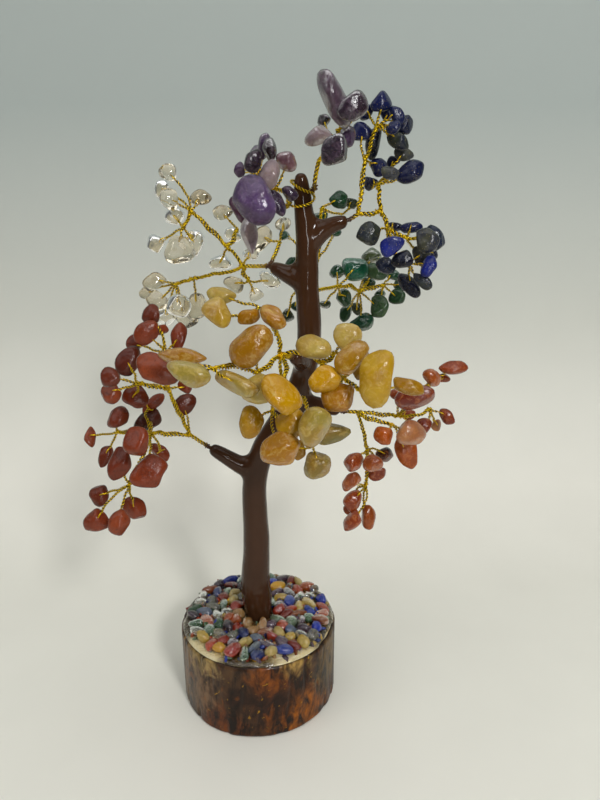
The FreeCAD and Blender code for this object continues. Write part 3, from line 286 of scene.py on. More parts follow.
def new_object(name, mesh, *materials):
    piece = bpy.data.objects.new(name, mesh)
    bpy.context.scene.collection.objects.link(piece)
    for material in materials:
        mesh.materials.append(material)
    return piece


def mesh_of(name, corners, faces, smooth=True):
    mesh = bpy.data.meshes.new(name)
    mesh.from_pydata(np.asarray(corners).tolist(), [], np.asarray(faces).tolist())
    if smooth:
        mesh.shade_smooth()
    else:
        mesh.shade_flat()
    mesh.update()
    return mesh


def store(mesh, name, values):
    """Keep one number, or one colour, for each corner of a mesh."""
    flat = np.ravel(values)
    plain = len(flat) == len(mesh.vertices)
    attribute = mesh.attributes.new(name, "FLOAT" if plain else "FLOAT_COLOR", "POINT")
    attribute.data.foreach_set("value" if plain else "color", flat)


def new_tree(name, made, **inputs):
    """A Geometry Nodes tree with named inputs and one output. Returns it and what it is given."""
    tree = bpy.data.node_groups.new(name, "GeometryNodeTree")
    for socket, kind in inputs.items():
        tree.interface.new_socket(socket.replace("_", " "), in_out="INPUT", socket_type=f"NodeSocket{kind}")
    tree.interface.new_socket(made, in_out="OUTPUT", socket_type="NodeSocketGeometry")
    return tree, add(tree, "NodeGroupInput", out=None).outputs


print("mid grey #808080 is", round(linear("#808080")[0], 3), "in linear light")

# %% [markdown]
# ## Twisted brass wire
# Each twig is one thin wire, folded through the stone and twisted back on itself. Twisting means
# that each strand goes round the centre line at a fixed distance while it moves along it.
# A screw modifier could twist a straight bar, but these lines bend. Geometry Nodes do exactly what
# the maker does, in three steps. First the line is cut into even steps and made to wander a little,
# most in its middle and not at its ends, because hand-bent wire is never a true arc.

# %% Geometry Nodes tree, part 1: a line that wanders
DRIFT_SCALE = 130.0  # 130 waves in a metre, each about 8 mm long

lay_tree, given = new_tree(
    "strands_laid_round_a_line", "Wires", Lines="Geometry", Strands="Int", Wire_Radius="Float",
    Lay_Radius="Float", Lay_Length="Float", Step="Float", Wander="Float", Wire="Material",
)
line = add(lay_tree, "GeometryNodeMeshToCurve", {"Mesh": given["Lines"]})
line = add(lay_tree, "GeometryNodeResampleCurve", {"Curve": line, "Length": given["Step"]}, mode="LENGTH")
along = add(lay_tree, "GeometryNodeSplineParameter", out=None).outputs
place = add(lay_tree, "GeometryNodeInputPosition")
drift = add(lay_tree, "ShaderNodeTexNoise", {
    "Vector": place, "Scale": DRIFT_SCALE, "Detail": 1.0,
}, out="Color")
drift = add(lay_tree, "ShaderNodeVectorMath", {0: drift, 1: (0.5, 0.5, 0.5)}, operation="SUBTRACT")
bow = add(lay_tree, "ShaderNodeMath", {0: along["Factor"], 1: math.pi}, operation="MULTIPLY")
bow = add(lay_tree, "ShaderNodeMath", {0: bow}, operation="SINE")
bow = add(lay_tree, "ShaderNodeMath", {0: bow, 1: given["Wander"]}, operation="MULTIPLY")
drift = add(lay_tree, "ShaderNodeVectorMath", {0: drift, "Scale": bow}, operation="SCALE")
line = add(lay_tree, "GeometryNodeSetPosition", {"Geometry": line, "Offset": drift})
line = add(lay_tree, "GeometryNodeStoreNamedAttribute", {
    "Geometry": line, "Name": "centre", "Value": place,
}, data_type="FLOAT_VECTOR", domain="POINT")
print("part 1 of the tree has", len(lay_tree.nodes), "nodes")

# %% [markdown]
# ## Laying the strands round it
# Second, the line is copied once for each strand. Each copy is pushed sideways, at an angle that
# grows with the length travelled and starts at the strand's own share of a full turn. Each line's
# "phase" is added to that angle, so that neighbouring twigs don't twist in step.
# The same tree makes a wrap, with one strand and a short lay, and a plain loop, with no lay.

# %% Geometry Nodes tree, part 2: strands that go round
copies = add(lay_tree, "GeometryNodeDuplicateElements", {
    "Geometry": line, "Amount": given["Strands"],
}, out=None, domain="SPLINE").outputs
strand = copies["Duplicate Index"]
share = add(lay_tree, "ShaderNodeMath", {0: strand, 1: given["Strands"]}, operation="DIVIDE")
phase = add(lay_tree, "GeometryNodeInputNamedAttribute", {
    "Name": "phase",
}, out="Attribute", data_type="FLOAT")
turn = along["Length"]
for operation, other in (
    ("DIVIDE", given["Lay Length"]), ("ADD", share), ("ADD", phase), ("MULTIPLY", 2 * math.pi),
):
    turn = add(lay_tree, "ShaderNodeMath", {0: turn, 1: other}, operation=operation)
tangent = add(lay_tree, "GeometryNodeInputTangent")
normal = add(lay_tree, "GeometryNodeInputNormal")
sideways = add(lay_tree, "ShaderNodeVectorMath", {0: tangent, 1: normal}, operation="CROSS_PRODUCT")
cosine = add(lay_tree, "ShaderNodeMath", {0: turn}, operation="COSINE")
sine = add(lay_tree, "ShaderNodeMath", {0: turn}, operation="SINE")
first_part = add(lay_tree, "ShaderNodeVectorMath", {0: normal, "Scale": cosine}, operation="SCALE")
second_part = add(lay_tree, "ShaderNodeVectorMath", {0: sideways, "Scale": sine}, operation="SCALE")
push = add(lay_tree, "ShaderNodeVectorMath", {0: first_part, 1: second_part}, operation="ADD")
push = add(lay_tree, "ShaderNodeVectorMath", {0: push, "Scale": given["Lay Radius"]}, operation="SCALE")
strands = add(lay_tree, "GeometryNodeSetPosition", {"Geometry": copies["Geometry"], "Offset": push})
print("parts 1 and 2 of the tree have", len(lay_tree.nodes), "nodes")

# %% [markdown]
# ## Sweeping the wire
# Third, a small circle is swept along each strand. Each point keeps how far out it lies from the
# line, its "crest", so that the material can paint shade into the grooves between the strands. The
# tree ends with real geometry and a material, because the export drops instances.

# %% Geometry Nodes tree, part 3: wire with dark grooves
WIRE_SIDES = 6

circle = add(lay_tree, "GeometryNodeCurvePrimitiveCircle", {
    "Resolution": WIRE_SIDES, "Radius": given["Wire Radius"],
})
wires = add(lay_tree, "GeometryNodeCurveToMesh", {
    "Curve": strands, "Profile Curve": circle, "Fill Caps": True,
})
centre = add(lay_tree, "GeometryNodeInputNamedAttribute", {
    "Name": "centre",
}, out="Attribute", data_type="FLOAT_VECTOR")
reach = add(lay_tree, "ShaderNodeVectorMath", {0: place, 1: centre}, out="Value", operation="DISTANCE")
most = add(lay_tree, "ShaderNodeMath", {0: given["Lay Radius"], 1: given["Wire Radius"]}, operation="ADD")
crest = add(lay_tree, "ShaderNodeMath", {0: reach, 1: most}, operation="DIVIDE")
wires = add(lay_tree, "GeometryNodeStoreNamedAttribute", {
    "Geometry": wires, "Name": "crest", "Value": crest,
}, data_type="FLOAT", domain="POINT")
wires = add(lay_tree, "GeometryNodeRemoveAttribute", {"Geometry": wires, "Name": "centre"})
wires = add(lay_tree, "GeometryNodeSetShadeSmooth", {"Geometry": wires})
wires = add(lay_tree, "GeometryNodeRealizeInstances", {"Geometry": wires})
wires = add(lay_tree, "GeometryNodeSetMaterial", {"Geometry": wires, "Material": given["Wire"]})
add(lay_tree, "NodeGroupOutput", {"Wires": wires}, out=None)
print("tree", lay_tree.name, "has", len(lay_tree.nodes), "nodes")

# %% [markdown]
# ## Running a tree
# A tree works on an object through a modifier. Its inputs are set by each socket's identifier
# before anything is evaluated, and the result is taken out as a plain mesh.
# The lines go in as a mesh of edges. Each corner also keeps a "stain", which is 1 near the trunk
# and falls to 0, because the lacquer has run along the first few millimetres of wire.

# %% Run a Geometry Nodes tree on a mesh
STAIN_START = 0.5 * MM
STAIN_FADE = 6.0 * MM


def baked(piece):
    """The plain mesh that an object's modifiers make. The object is removed."""
    mesh = bpy.data.meshes.new_from_object(piece.evaluated_get(bpy.context.evaluated_depsgraph_get()))
    bpy.data.objects.remove(piece)
    return mesh


def grown(mesh, tree, **inputs):
    """The plain mesh that a tree makes from a mesh. Inputs are named with _ in place of spaces."""
    piece = new_object(mesh.name, mesh)
    modifier = piece.modifiers.new(tree.name, "NODES")
    modifier.node_group = tree
    sockets = [item for item in tree.interface.items_tree if item.in_out == "INPUT"]
    identifiers = {item.name: item.identifier for item in sockets}
    for name, value in inputs.items():
        modifier[identifiers[name.replace("_", " ")]] = value
    return baked(piece)


def joined(name, meshes):
    """One mesh made of several, with their materials and attributes kept."""
    pieces = [new_object(name, mesh) for mesh in meshes]
    chosen = dict(active_object=pieces[0], selected_editable_objects=pieces, selected_objects=pieces)
    with bpy.context.temp_override(**chosen):
        bpy.ops.object.join()
    mesh = pieces[0].data
    bpy.data.objects.remove(pieces[0])
    mesh.name = name
    return mesh


def line_mesh(name, lines, root, seed):
    """The lines as one mesh of edges, with the phase of each and how deep the lacquer lies on it."""
    corners, edges, phases = [], [], []
    random = np.random.default_rng(seed)
    for points in lines:
        first = len(corners)
        corners += list(points)
        edges += [(first + step, first + step + 1) for step in range(len(points) - 1)]
        phases += [random.uniform()] * len(points)
    mesh = bpy.data.meshes.new(name)
    mesh.from_pydata(np.array(corners).tolist(), edges, [])
    store(mesh, "phase", phases)
    from_root = np.linalg.norm(np.array(corners) - root, axis=1)
    store(mesh, "stain", np.clip(1 - (from_root - STAIN_START) / STAIN_FADE, 0, 1))
    return mesh


print("lacquer reaches", round((STAIN_START + STAIN_FADE) / MM, 1), "mm along the wires")

# %% [markdown]
# ## The finish of the wire
# The wire is brass, drawn smooth and left bright. Metal has no colour of its own under the surface:
# all of its colour is in its reflection, so the base colour is the tint of the reflection. Drawn
# wire is fairly smooth but not a mirror, which gives the eye soft yellow glints along each strand.
# The grooves between strands see less light, so painted shade turns them dark olive brown, which
# makes the twist show. Near the trunk the "stain" turns bare metal into wet brown lacquer.
# In a Mix node set to colours, inputs 6 and 7 are the two colours and output 2 is the result.

# %% Material: drawn brass wire, wetted with lacquer near the trunk
COLOURS = dict(data_type="RGBA", out=2)


def new_material(name, **inputs):
    """A material with one Principled shader. Returns it, its tree, the shader and the object's own place."""
    material = bpy.data.materials.new(name)
    material.use_nodes = True
    tree = material.node_tree
    tree.nodes.clear()
    named = {place.replace("_", " "): value for place, value in inputs.items()}
    shader = add(tree, "ShaderNodeBsdfPrincipled", named, out=None)
    add(tree, "ShaderNodeOutputMaterial", {"Surface": shader.outputs[0]}, out=None)
    return material, tree, shader, add(tree, "ShaderNodeTexCoord", out="Object")


brass, tree, shader, place = new_material("drawn_brass_wire", Roughness=0.3)
stain = add(tree, "ShaderNodeAttribute", out="Fac", attribute_name="stain")
crest = add(tree, "ShaderNodeAttribute", out="Fac", attribute_name="crest")
patches = add(tree, "ShaderNodeTexNoise", {"Vector": place, "Scale": 1 / (2.5 * MM), "Detail": 2.0})
wetted = add(tree, "ShaderNodeMath", {0: stain, 1: patches}, operation="ADD")
wetted = add(tree, "ShaderNodeMapRange", {"Value": wetted, "From Min": 0.85, "From Max": 1.35})
# painted shade: where crest is low, in the grooves between the strands, the tint turns dark olive brown
shine = add(tree, "ShaderNodeMapRange", {"Value": crest, "From Min": 0.6, "From Max": 0.97})
tint = add(tree, "ShaderNodeMix", {"Factor": patches, 6: "#f0d42c", 7: "#d4a412"}, **COLOURS)
tint = add(tree, "ShaderNodeMix", {"Factor": shine, 6: "#2e2206", 7: tint}, **COLOURS)
tint = add(tree, "ShaderNodeMix", {"Factor": wetted, 6: tint, 7: "#4a2a14"}, **COLOURS)
bare = add(tree, "ShaderNodeMapRange", {"Value": wetted, "To Min": 1.0, "To Max": 0.15})
fill(shader, {"Base Color": tint, "Metallic": bare})
print("made", brass.name, "with", len(tree.nodes), "nodes")

# %% [markdown]
# ## Which lines are laid, and how
# Twigs are two strands. So are the stems between forks, of thicker wire, and beside most of them a
# second, thin pair runs in a loose bow. The stems that start at the root have three strands. At
# each fork the maker has wound a strand round the bundle a few times to hold it together, and each
# twig ends in a loop through its stone. All these are the same tree with other sizes, but wraps,
# loops and bows need lines of their own, which are worked out from the stems and twigs.

# %% Sizes of each lay, and the extra lines
TWIG = dict(Strands=2, Wire_Radius=0.29 * MM, Lay_Radius=0.37 * MM, Lay_Length=3.1 * MM, Wander=3.2 * MM)
BOUGH = dict(Strands=2, Wire_Radius=0.37 * MM, Lay_Radius=0.52 * MM, Lay_Length=3.8 * MM, Wander=3.2 * MM)
STEM = dict(Strands=3, Wire_Radius=0.38 * MM, Lay_Radius=0.62 * MM, Lay_Length=5.4 * MM, Wander=1.2 * MM)
WRAP = dict(Strands=1, Wire_Radius=0.3 * MM, Lay_Radius=0.95 * MM, Lay_Length=0.7 * MM, Wander=0.0)
ROOT_WRAP = dict(WRAP, Lay_Radius=1.25 * MM)
LOOP = dict(Strands=1, Wire_Radius=0.28 * MM, Lay_Radius=0.0, Lay_Length=1.0, Wander=0.0)
LAY_STEP, WRAP_STEP = 0.4 * MM, 0.2 * MM
WRAP_START, WRAP_LENGTH, WRAP_POINTS = 0.5 * MM, 1.7 * MM, 9
ROOT_WRAP_START, ROOT_WRAP_LENGTH = 0.3 * MM, 1.2 * WRAP_LENGTH
LONG_ROOT_WRAPS = {"yellow_quartz": 6.5 * MM}
LOOP_RADIUS, LOOP_MOUTH, LOOP_POINTS = 1.75 * MM, 0.06, 30
BOW, BOW_LEAST_LENGTH, BOW_SEED = 1.1 * MM, 6 * MM, 300


def along_line(line, start, length):
    """Points on a line from a distance after its start, over a length."""
    travelled = np.concatenate([[0], np.cumsum(np.linalg.norm(np.diff(line, axis=0), axis=1))])
    wanted = np.linspace(start, start + length, WRAP_POINTS)
    return np.stack([np.interp(wanted, travelled, line[:, axis]) for axis in range(3)], axis=1)


def loop_line(middle, axis, twig_end):
    """From the end of the twig once round the loop and back to the end of the twig."""
    outward = unit(twig_end - middle - axis * ((twig_end - middle) @ axis))
    across = np.cross(axis, outward)
    turns = np.linspace(LOOP_MOUTH, 2 * math.pi - LOOP_MOUTH, LOOP_POINTS)[:, None]
    ring = middle + LOOP_RADIUS * (np.cos(turns) * outward + np.sin(turns) * across)
    return np.concatenate([[twig_end], ring, [twig_end]])


def bowed(line, way):
    """The line pushed sideways in a bow that starts and ends on it."""
    share = np.linspace(0, 1, len(line))[:, None]
    along = unit(line[-1] - line[0])
    sideways = unit(way - along * (way @ along))
    return line + BOW * np.sin(math.pi * share) * sideways


for name, lay in (("twig", TWIG), ("bough", BOUGH), ("stem", STEM)):
    print("a", name, "is", round(2 * (lay["Lay_Radius"] + lay["Wire_Radius"]) / MM, 2), "mm thick")

# %% [markdown]
# ## Laying the wires of each spray
# A stem that ends at the root is turned round first, so that it starts there. Stems at the root get
# the thick lay and the long wrap, and all others the lay of two strands and a wrap at both ends.
# Each lay is run once for a whole spray, because one run of the tree handles any number of lines.
# The results are joined to one piece, which takes the place of the spray's plain bars and balls.

# %% Lay the strands of each spray
for number, spray in enumerate(SPRAYS):
    root, inward = roots[spray]
    random = np.random.default_rng(BOW_SEED + number)
    ends = np.array([line[-1] for line in twigs[spray]] + [line[0] for line in twigs[spray]])
    rings = []
    for middle, axis in loops[spray]:
        nearest = ends[np.linalg.norm(ends - middle, axis=1).argmin()]
        rings.append(loop_line(middle, axis, nearest))
    outward = [line[::-1] if np.linalg.norm(line[-1] - root) < MM else line for line in stems[spray]]
    thick = [line for line in outward if np.linalg.norm(line[0] - root) < MM]
    thin = [line for line in outward if np.linalg.norm(line[0] - root) >= MM]
    wraps = [along_line(line, WRAP_START, WRAP_LENGTH) for line in thin]
    wraps += [along_line(line[::-1], WRAP_START, WRAP_LENGTH) for line in thin]
    root_length = LONG_ROOT_WRAPS.get(spray, ROOT_WRAP_LENGTH)
    root_wraps = [along_line(line, ROOT_WRAP_START, root_length) for line in thick if len(line) > ROOT_POINTS]
    long = [line for line in thin if np.linalg.norm(line[-1] - line[0]) > BOW_LEAST_LENGTH]
    beside = [bowed(line, random.normal(size=3)) for line in long]
    meshes = []
    for lines, lay in (
        (twigs[spray] + beside, TWIG), (thin, BOUGH), (thick, STEM),
        (wraps, WRAP), (root_wraps, ROOT_WRAP), (rings, LOOP),
    ):
        if lines:
            step = WRAP_STEP if lay in (WRAP, ROOT_WRAP) else LAY_STEP
            mesh = line_mesh(f"{spray}_lines", lines, root, number)
            meshes.append(grown(mesh, lay_tree, Step=step, Wire=brass, **lay))
    wires_mesh = joined(f"{spray}_wires", meshes)
    wires_piece = new_object(f"{spray}_wires", wires_mesh)
    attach(wires_piece, f"{spray}_spray")
    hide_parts(*(f"{spray}_{kind}" for kind in ("knots", "stems", "twigs", "loops")))
    print(wires_piece.name, "has", sum(len(p.vertices) - 2 for p in wires_mesh.polygons), "triangles")

# %% [markdown]
# ## The tie round the top
# The two topmost sprays have no branch of lacquer to sit in. Their wires are tied round the trunk,
# and two twisted loops cross in front of it. Each loop is a ring round the trunk's middle line that
# leans, and hangs a little away from the trunk at its lowest side.

# %% Loops of wire round the top of the trunk
TIE_POINTS = 60
TIE_GAP, TIE_BAND = 0.9 * MM, 1.5 * MM
TIE_SEED = 77


def tie_ring(height, lean, slack, turn_of_low):
    """A leaning ring round the trunk at a height, with some slack at its lowest side."""
    near = trunk_corners[abs(trunk_corners[:, 2] - height) < TIE_BAND]
    middle = box_middle(near)
    reach = np.linalg.norm((near - middle)[:, :2], axis=1).max() + TIE_GAP
    turns = np.linspace(0, 2 * math.pi, TIE_POINTS)
    low = (1 + np.cos(turns - turn_of_low)) / 2
    radius = reach + slack * low ** 2
    across, back = middle[0] + radius * np.cos(turns), middle[1] + radius * np.sin(turns)
    return np.stack([across, back, height + lean * (0.5 - low)], axis=1)


trunk_top = trunk_corners[:, 2].max()
tie_lines = [
    tie_ring(trunk_top - 5.5 * MM, 5.0 * MM, 0.6 * MM, math.radians(-30)),
    tie_ring(trunk_top - 10.5 * MM, 6.0 * MM, 1.4 * MM, math.radians(-110)),
]
tie_mesh = line_mesh("tie_lines", tie_lines, np.zeros(3), TIE_SEED)
tie_mesh = grown(tie_mesh, lay_tree, Step=LAY_STEP, Wire=brass, **dict(TWIG, Wander=0.6 * MM))
tie = new_object("crown_tie_wires", tie_mesh)
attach(tie, "stand")
print("the tie has", len(tie_mesh.polygons), "faces")

# %% [markdown]
# ## The planes of a broken chip
# The chips were crushed and then tumbled with grit, so each is a rough polyhedron whose edges are
# worn round. In the CAD model each has flat faces with sharp edges, and its drilled loop hole. Only
# its outer planes are kept. Three planes that cut deeper are added, where the stone broke before it
# was tumbled, and a few shallow hollows are scooped out where flakes came off.

# %% Planes, breaks, hollows and ripples
SAME_FACE = 0.995
BREAKS, BREAK_DEPTHS = 3, (0.45, 0.75)
FLAKES, FLAKE_RIMS, FLAKE_DEPTHS = 4, (0.35, 0.75), (0.03, 0.14)


def outer_planes(corners, triangles):
    """Normals and distances of the planes that bound a solid's outside, once each."""
    normals, areas, centres = facets(corners, triangles)
    heights = (centres * normals).sum(axis=1)
    outside = (corners @ normals.T).max(axis=0) < heights + SAME_PLANE
    found = []
    for number in np.argsort(-areas):
        if outside[number] and not any(normals[number] @ normals[other] > SAME_FACE for other in found):
            found.append(number)
    return normals[found], heights[found]


def broken_planes(corners, middle, seed):
    """Normals and distances from the middle of a few planes that cut well into a chip."""
    random = np.random.default_rng(seed)
    normals = random.normal(size=(BREAKS, 3))
    normals /= np.linalg.norm(normals, axis=1)[:, None]
    return normals, ((corners - middle) @ normals.T).max(axis=0) * random.uniform(*BREAK_DEPTHS, BREAKS)


def hollows(directions, seed):
    """How much of its reach a chip has lost in each direction where flakes broke off."""
    random = np.random.default_rng(seed)
    lost = np.zeros(len(directions))
    for _ in range(FLAKES):
        way = unit(random.normal(size=3))
        rim = random.uniform(*FLAKE_RIMS)
        lost += random.uniform(*FLAKE_DEPTHS) * np.clip((directions @ way - rim) / (1 - rim), 0, 1) ** 1.2
    return lost


def ripple(points, wave, seed, terms=7):
    """A smooth random value from -1 to 1 in space, with waves of about one length."""
    random = np.random.default_rng(seed)
    ways = random.normal(size=(terms, 3))
    pace = 2 * math.pi / wave * random.uniform(0.6, 1.5, size=terms)
    ways *= (pace / np.linalg.norm(ways, axis=1))[:, None]
    return np.cos(points @ ways.T + random.uniform(0, 2 * math.pi, terms)).mean(axis=1)


first_stone = loose_pieces(SPRAYS[0] + "_stones")[0]
print("the first stone has", len(outer_planes(*first_stone)[0]), "outer planes")

# %% [markdown]
# ## Wearing a chip round
# A bevel would leave flat faces between round edges. Instead each point of a sphere is moved out
# until it meets a soft meeting of the planes: a high power sums their pulls, so near the middle of
# a face one plane decides, and near an edge two share. The points are then softened against their
# neighbours, as the grit does to any tooth that is left. All that takes a little off the ends, so
# the worn stone is stretched back to the length, width and thickness of the sharp one, and then
# made a fifth larger, because a rounded stone covers less of the picture than a sharp one.

# %% Wear a chip round
CHIP_SWELL = 1.2
SOFTENINGS = 3
LEAST_REACH = 0.2 * MM


def icosphere(subdivisions):
    """Corners and triangles of an even ball."""
    ball = bmesh.new()
    bmesh.ops.create_icosphere(ball, subdivisions=subdivisions, radius=1)
    corners = np.array([vertex.co for vertex in ball.verts])
    faces = np.array([[vertex.index for vertex in face.verts] for face in ball.faces])
    ball.free()
    return corners, faces


def softened(corners, faces):
    """Each corner moved half way to the middle of its neighbours, which takes off single teeth."""
    ends = faces[:, (0, 1, 2)].T.ravel(), faces[:, (1, 2, 0)].T.ravel()
    order = np.argsort(ends[0], kind="stable")
    starts = np.searchsorted(ends[0][order], np.arange(len(corners)))
    neighbours = np.add.reduceat(corners[ends[1][order]], starts) / np.bincount(ends[0])[:, None]
    return (corners + neighbours) / 2


def worn(corners, triangles, ball, faces, power, seed, dents):
    """The corners of a chip worn round, one for each corner of the ball."""
    normals, heights = outer_planes(corners, triangles)
    middle = box_middle(corners)
    _, lengths, axes = np.linalg.svd(corners - corners.mean(axis=0), full_matrices=False)
    directions = (ball * (lengths / lengths.max())) @ axes
    directions /= np.linalg.norm(directions, axis=1)[:, None]
    cuts, cut_heights = broken_planes(corners, middle, seed)
    from_middle = np.concatenate([heights - normals @ middle, cut_heights])
    facing = np.maximum(directions @ np.concatenate([normals, cuts]).T, 0)
    pulls = facing / np.maximum(from_middle, LEAST_REACH)
    reach = (pulls ** power).sum(axis=1) ** (-1 / power)
    dent = ripple(directions, 1.1, seed) + 0.5 * ripple(directions, 0.45, seed + 1)
    stone = (directions * (reach * (1 - dents * dent - hollows(directions, seed)))[:, None]) @ axes.T
    for _ in range(SOFTENINGS):
        stone = softened(stone, faces)
    sharp = (corners - middle) @ axes.T * CHIP_SWELL
    low, high = stone.min(axis=0), stone.max(axis=0)
    stone = sharp.min(axis=0) + (stone - low) * ((sharp.max(axis=0) - sharp.min(axis=0)) / (high - low))
    return middle + stone @ axes


fine_ball, fine_faces = icosphere(4)
ground_ball, ground_faces = icosphere(3)
coarse_ball, coarse_faces = icosphere(1)
print("triangles of a stone, a chip and a splinter:", len(fine_faces), len(ground_faces), len(coarse_faces))

# %% [markdown]
# ## Which stone has which tone
# Stones of one kind still differ: jasper from brick red to nearly black, quartzite from cream to
# deep orange. The tones are listed, and the stones that stand out in the photograph are given
# theirs by where they are seen. All others take a random one of the kind's common tones.

# %% Tones
TONES = {
    "jasper": (["#7a3218", "#6a2a16", "#843c20", "#5e2614"], {
        "#4a1c10": [(128, 359), (149, 356)],
        "#20100c": [(148, 422)],
    }),
    "yellow_quartz": (["#a87e0c", "#9a6e04", "#b0902c", "#946804"], {
        "#b5a050": [(220, 293), (259, 389), (315, 346), (348, 338)],
        "#968438": [(186, 373), (232, 382), (313, 429)],
        "#a06a00": [(251, 314), (274, 319), (279, 450)],
        "#966400": [(251, 347), (190, 361)],
        "#bd8c00": [(284, 396), (323, 377)],
        "#bc961c": [(377, 380)],
        "#a06600": [(338, 394)],
        "#7a560c": [(356, 366)],
        "#766c34": [(318, 464), (333, 433)],
    }),
    "carnelian": (["#8c3a14", "#7a2e16", "#9c4e18"], {
        "#6a2012": [(414, 398), (424, 423)],
        "#b0784a": [(434, 421), (410, 434)],
        "#b05410": [(385, 435), (407, 453)],
        "#1a0e0a": [(384, 455)],
    }),
    "clear_quartz": (["#e0d8c2", "#ebe4d2", "#d4c8ac"], {
        "#c4b494": [(197, 201)],
    }),
    "amethyst": (["#44304c", "#523c58", "#36263c"], {
        "#1c1210": [(272, 149), (261, 158), (334, 151), (327, 128)],
        "#94807f": [(270, 175), (317, 135), (247, 232)],
        "#70484c": [(288, 165)],
        "#54283f": [(239, 211)],
        "#624a74": [(254, 200)],
        "#4c3844": [(338, 99)],
        "#2c1c20": [(357, 108)],
    }),
    "lapis": (["#0d1132", "#101742", "#0d1026"], {
        "#0a0c14": [(371, 145), (401, 259), (413, 283)],
        "#2c3024": [(394, 143), (368, 234), (421, 281)],
        "#4a4a3c": [(402, 155), (390, 176)],
        "#1a257c": [(393, 245), (429, 267)],
        "#222a34": [(390, 265), (434, 239)],
        "#3c3c30": [(422, 242), (419, 256)],
    }),
    "aventurine": (["#12442c", "#184228", "#244022", "#34381c"], {
        "#0e5c42": [(354, 268)],
        "#3e4620": [(372, 254)],
        "#425a38": [(377, 271), (377, 308)],
    }),
}
SEEN_WITHIN = 12


def kind_of(spray):
    return spray.split("_left")[0].split("_right")[0]


def picked(palette, count, random):
    return [palette[pick] for pick in random.integers(len(palette), size=count)]


def tones_for(spray, centres, seed):
    """A tone for each stone: its own if the photograph picks it out, else one of the common ones."""
    common, special = TONES[kind_of(spray)]
    tones = picked(common, len(centres), np.random.default_rng(seed))
    seen = np.array([pixel_of(centre) for centre in centres])
    for tone, places in special.items():
        for spot in places:
            gaps = np.linalg.norm(seen - spot, axis=1)
            if gaps.min() < SEEN_WITHIN:
                tones[int(gaps.argmin())] = tone
    return tones


print("stones with a tone of their own:", {
    kind: sum(len(places) for places in special.values()) for kind, (_, special) in TONES.items()
})

# %% [markdown]
# ## What the stones are made of
# Most of these are quartz in some form, IOR 1.54, polished by tumbling, which gives the eye small
# sharp lights on a smooth skin. Clear quartz and amethyst let light straight through, clouded by
# veils and cracks. The yellow quartzite and the aventurine are grainy inside, so light enters and
# comes out again nearby, which gives the soft waxy look. Jasper and lapis are nearly opaque, with
# bands in the one and brassy specks in the other.
# The one function below builds them all from a veil, a vein and the stone's own tone.

# %% Material: tumbled stones
SPECK_GAP = 0.9 * MM
PIT = 1.3 * MM


def stone_material(
    name, veil, vein, vein_mm, clear=0.0, soft=0.0, roughness=0.16, veined=0.5, specks=None, wet=0.0,
    pitted=0.5,
):
    """A polished stone whose tone is clouded by veils of another colour, and that may let light in."""
    material, tree, shader, place = new_material(
        name, IOR=1.54, Specular_IOR_Level=0.3, Coat_Weight=wet, Coat_Roughness=0.02,
        Subsurface_Weight=soft, Subsurface_Scale=1.2 * MM, Subsurface_Radius=(1.0, 0.9, 0.3),
    )
    tone = add(tree, "ShaderNodeAttribute", attribute_name="tone")
    clouds = add(tree, "ShaderNodeTexNoise", {
        "Vector": place, "Scale": 1 / (vein_mm * MM), "Detail": 5.0, "Roughness": 0.6, "Distortion": 1.2,
    })
    slow = add(tree, "ShaderNodeTexNoise", {
        "Vector": place, "Scale": 1 / (3.2 * vein_mm * MM), "Detail": 2.0,
    })
    depth = add(tree, "ShaderNodeMapRange", {
        "Value": slow, "From Min": 0.35, "From Max": 0.65, "To Max": 0.55,
    })
    share = add(tree, "ShaderNodeMapRange", {
        "Value": clouds, "From Min": 0.5, "From Max": 0.72, "To Max": veined,
    })
    colour = add(tree, "ShaderNodeMix", {"Factor": depth, 6: tone, 7: veil}, **COLOURS)
    colour = add(tree, "ShaderNodeMix", {"Factor": share, 6: colour, 7: vein}, **COLOURS)
    if specks:
        grains = add(tree, "ShaderNodeTexVoronoi", {"Vector": place, "Scale": 1 / SPECK_GAP})
        grain = add(tree, "ShaderNodeMapRange", {"Value": grains, "From Min": 0.16, "From Max": 0.08})
        colour = add(tree, "ShaderNodeMix", {"Factor": grain, 6: colour, 7: specks}, **COLOURS)
    polish = add(tree, "ShaderNodeMapRange", {
        "Value": slow, "To Min": roughness * 0.6, "To Max": roughness * 1.6,
    })
    pits = add(tree, "ShaderNodeTexNoise", {"Vector": place, "Scale": 1 / PIT, "Detail": 4.0})
    relief = add(tree, "ShaderNodeMath", {0: pits, 1: slow}, operation="ADD")
    bump = add(tree, "ShaderNodeBump", {"Height": relief, "Strength": pitted, "Distance": 0.45 * MM})
    fill(shader, {"Base Color": colour, "Roughness": polish, "Normal": bump, "Coat Normal": bump})
    if clear:
        veils = add(tree, "ShaderNodeMapRange", {
            "Value": clouds, "From Min": 0.42, "From Max": 0.62, "To Min": clear, "To Max": clear ** 2,
        })
        fill(shader, {"Transmission Weight": veils})
    return material


print("specks are", round(SPECK_GAP / MM, 1), "mm apart and pits", round(PIT / MM, 1), "mm")

# %% [markdown]
# ## One finish for each kind
# Each kind is one call of that function with the veil, the vein, the veins' size in millimetres and
# how clear, soft and smooth it is. The values start from the real stone and were then matched to
# the photograph: quartz is nearly clear, jasper lets nothing through and is the dullest.

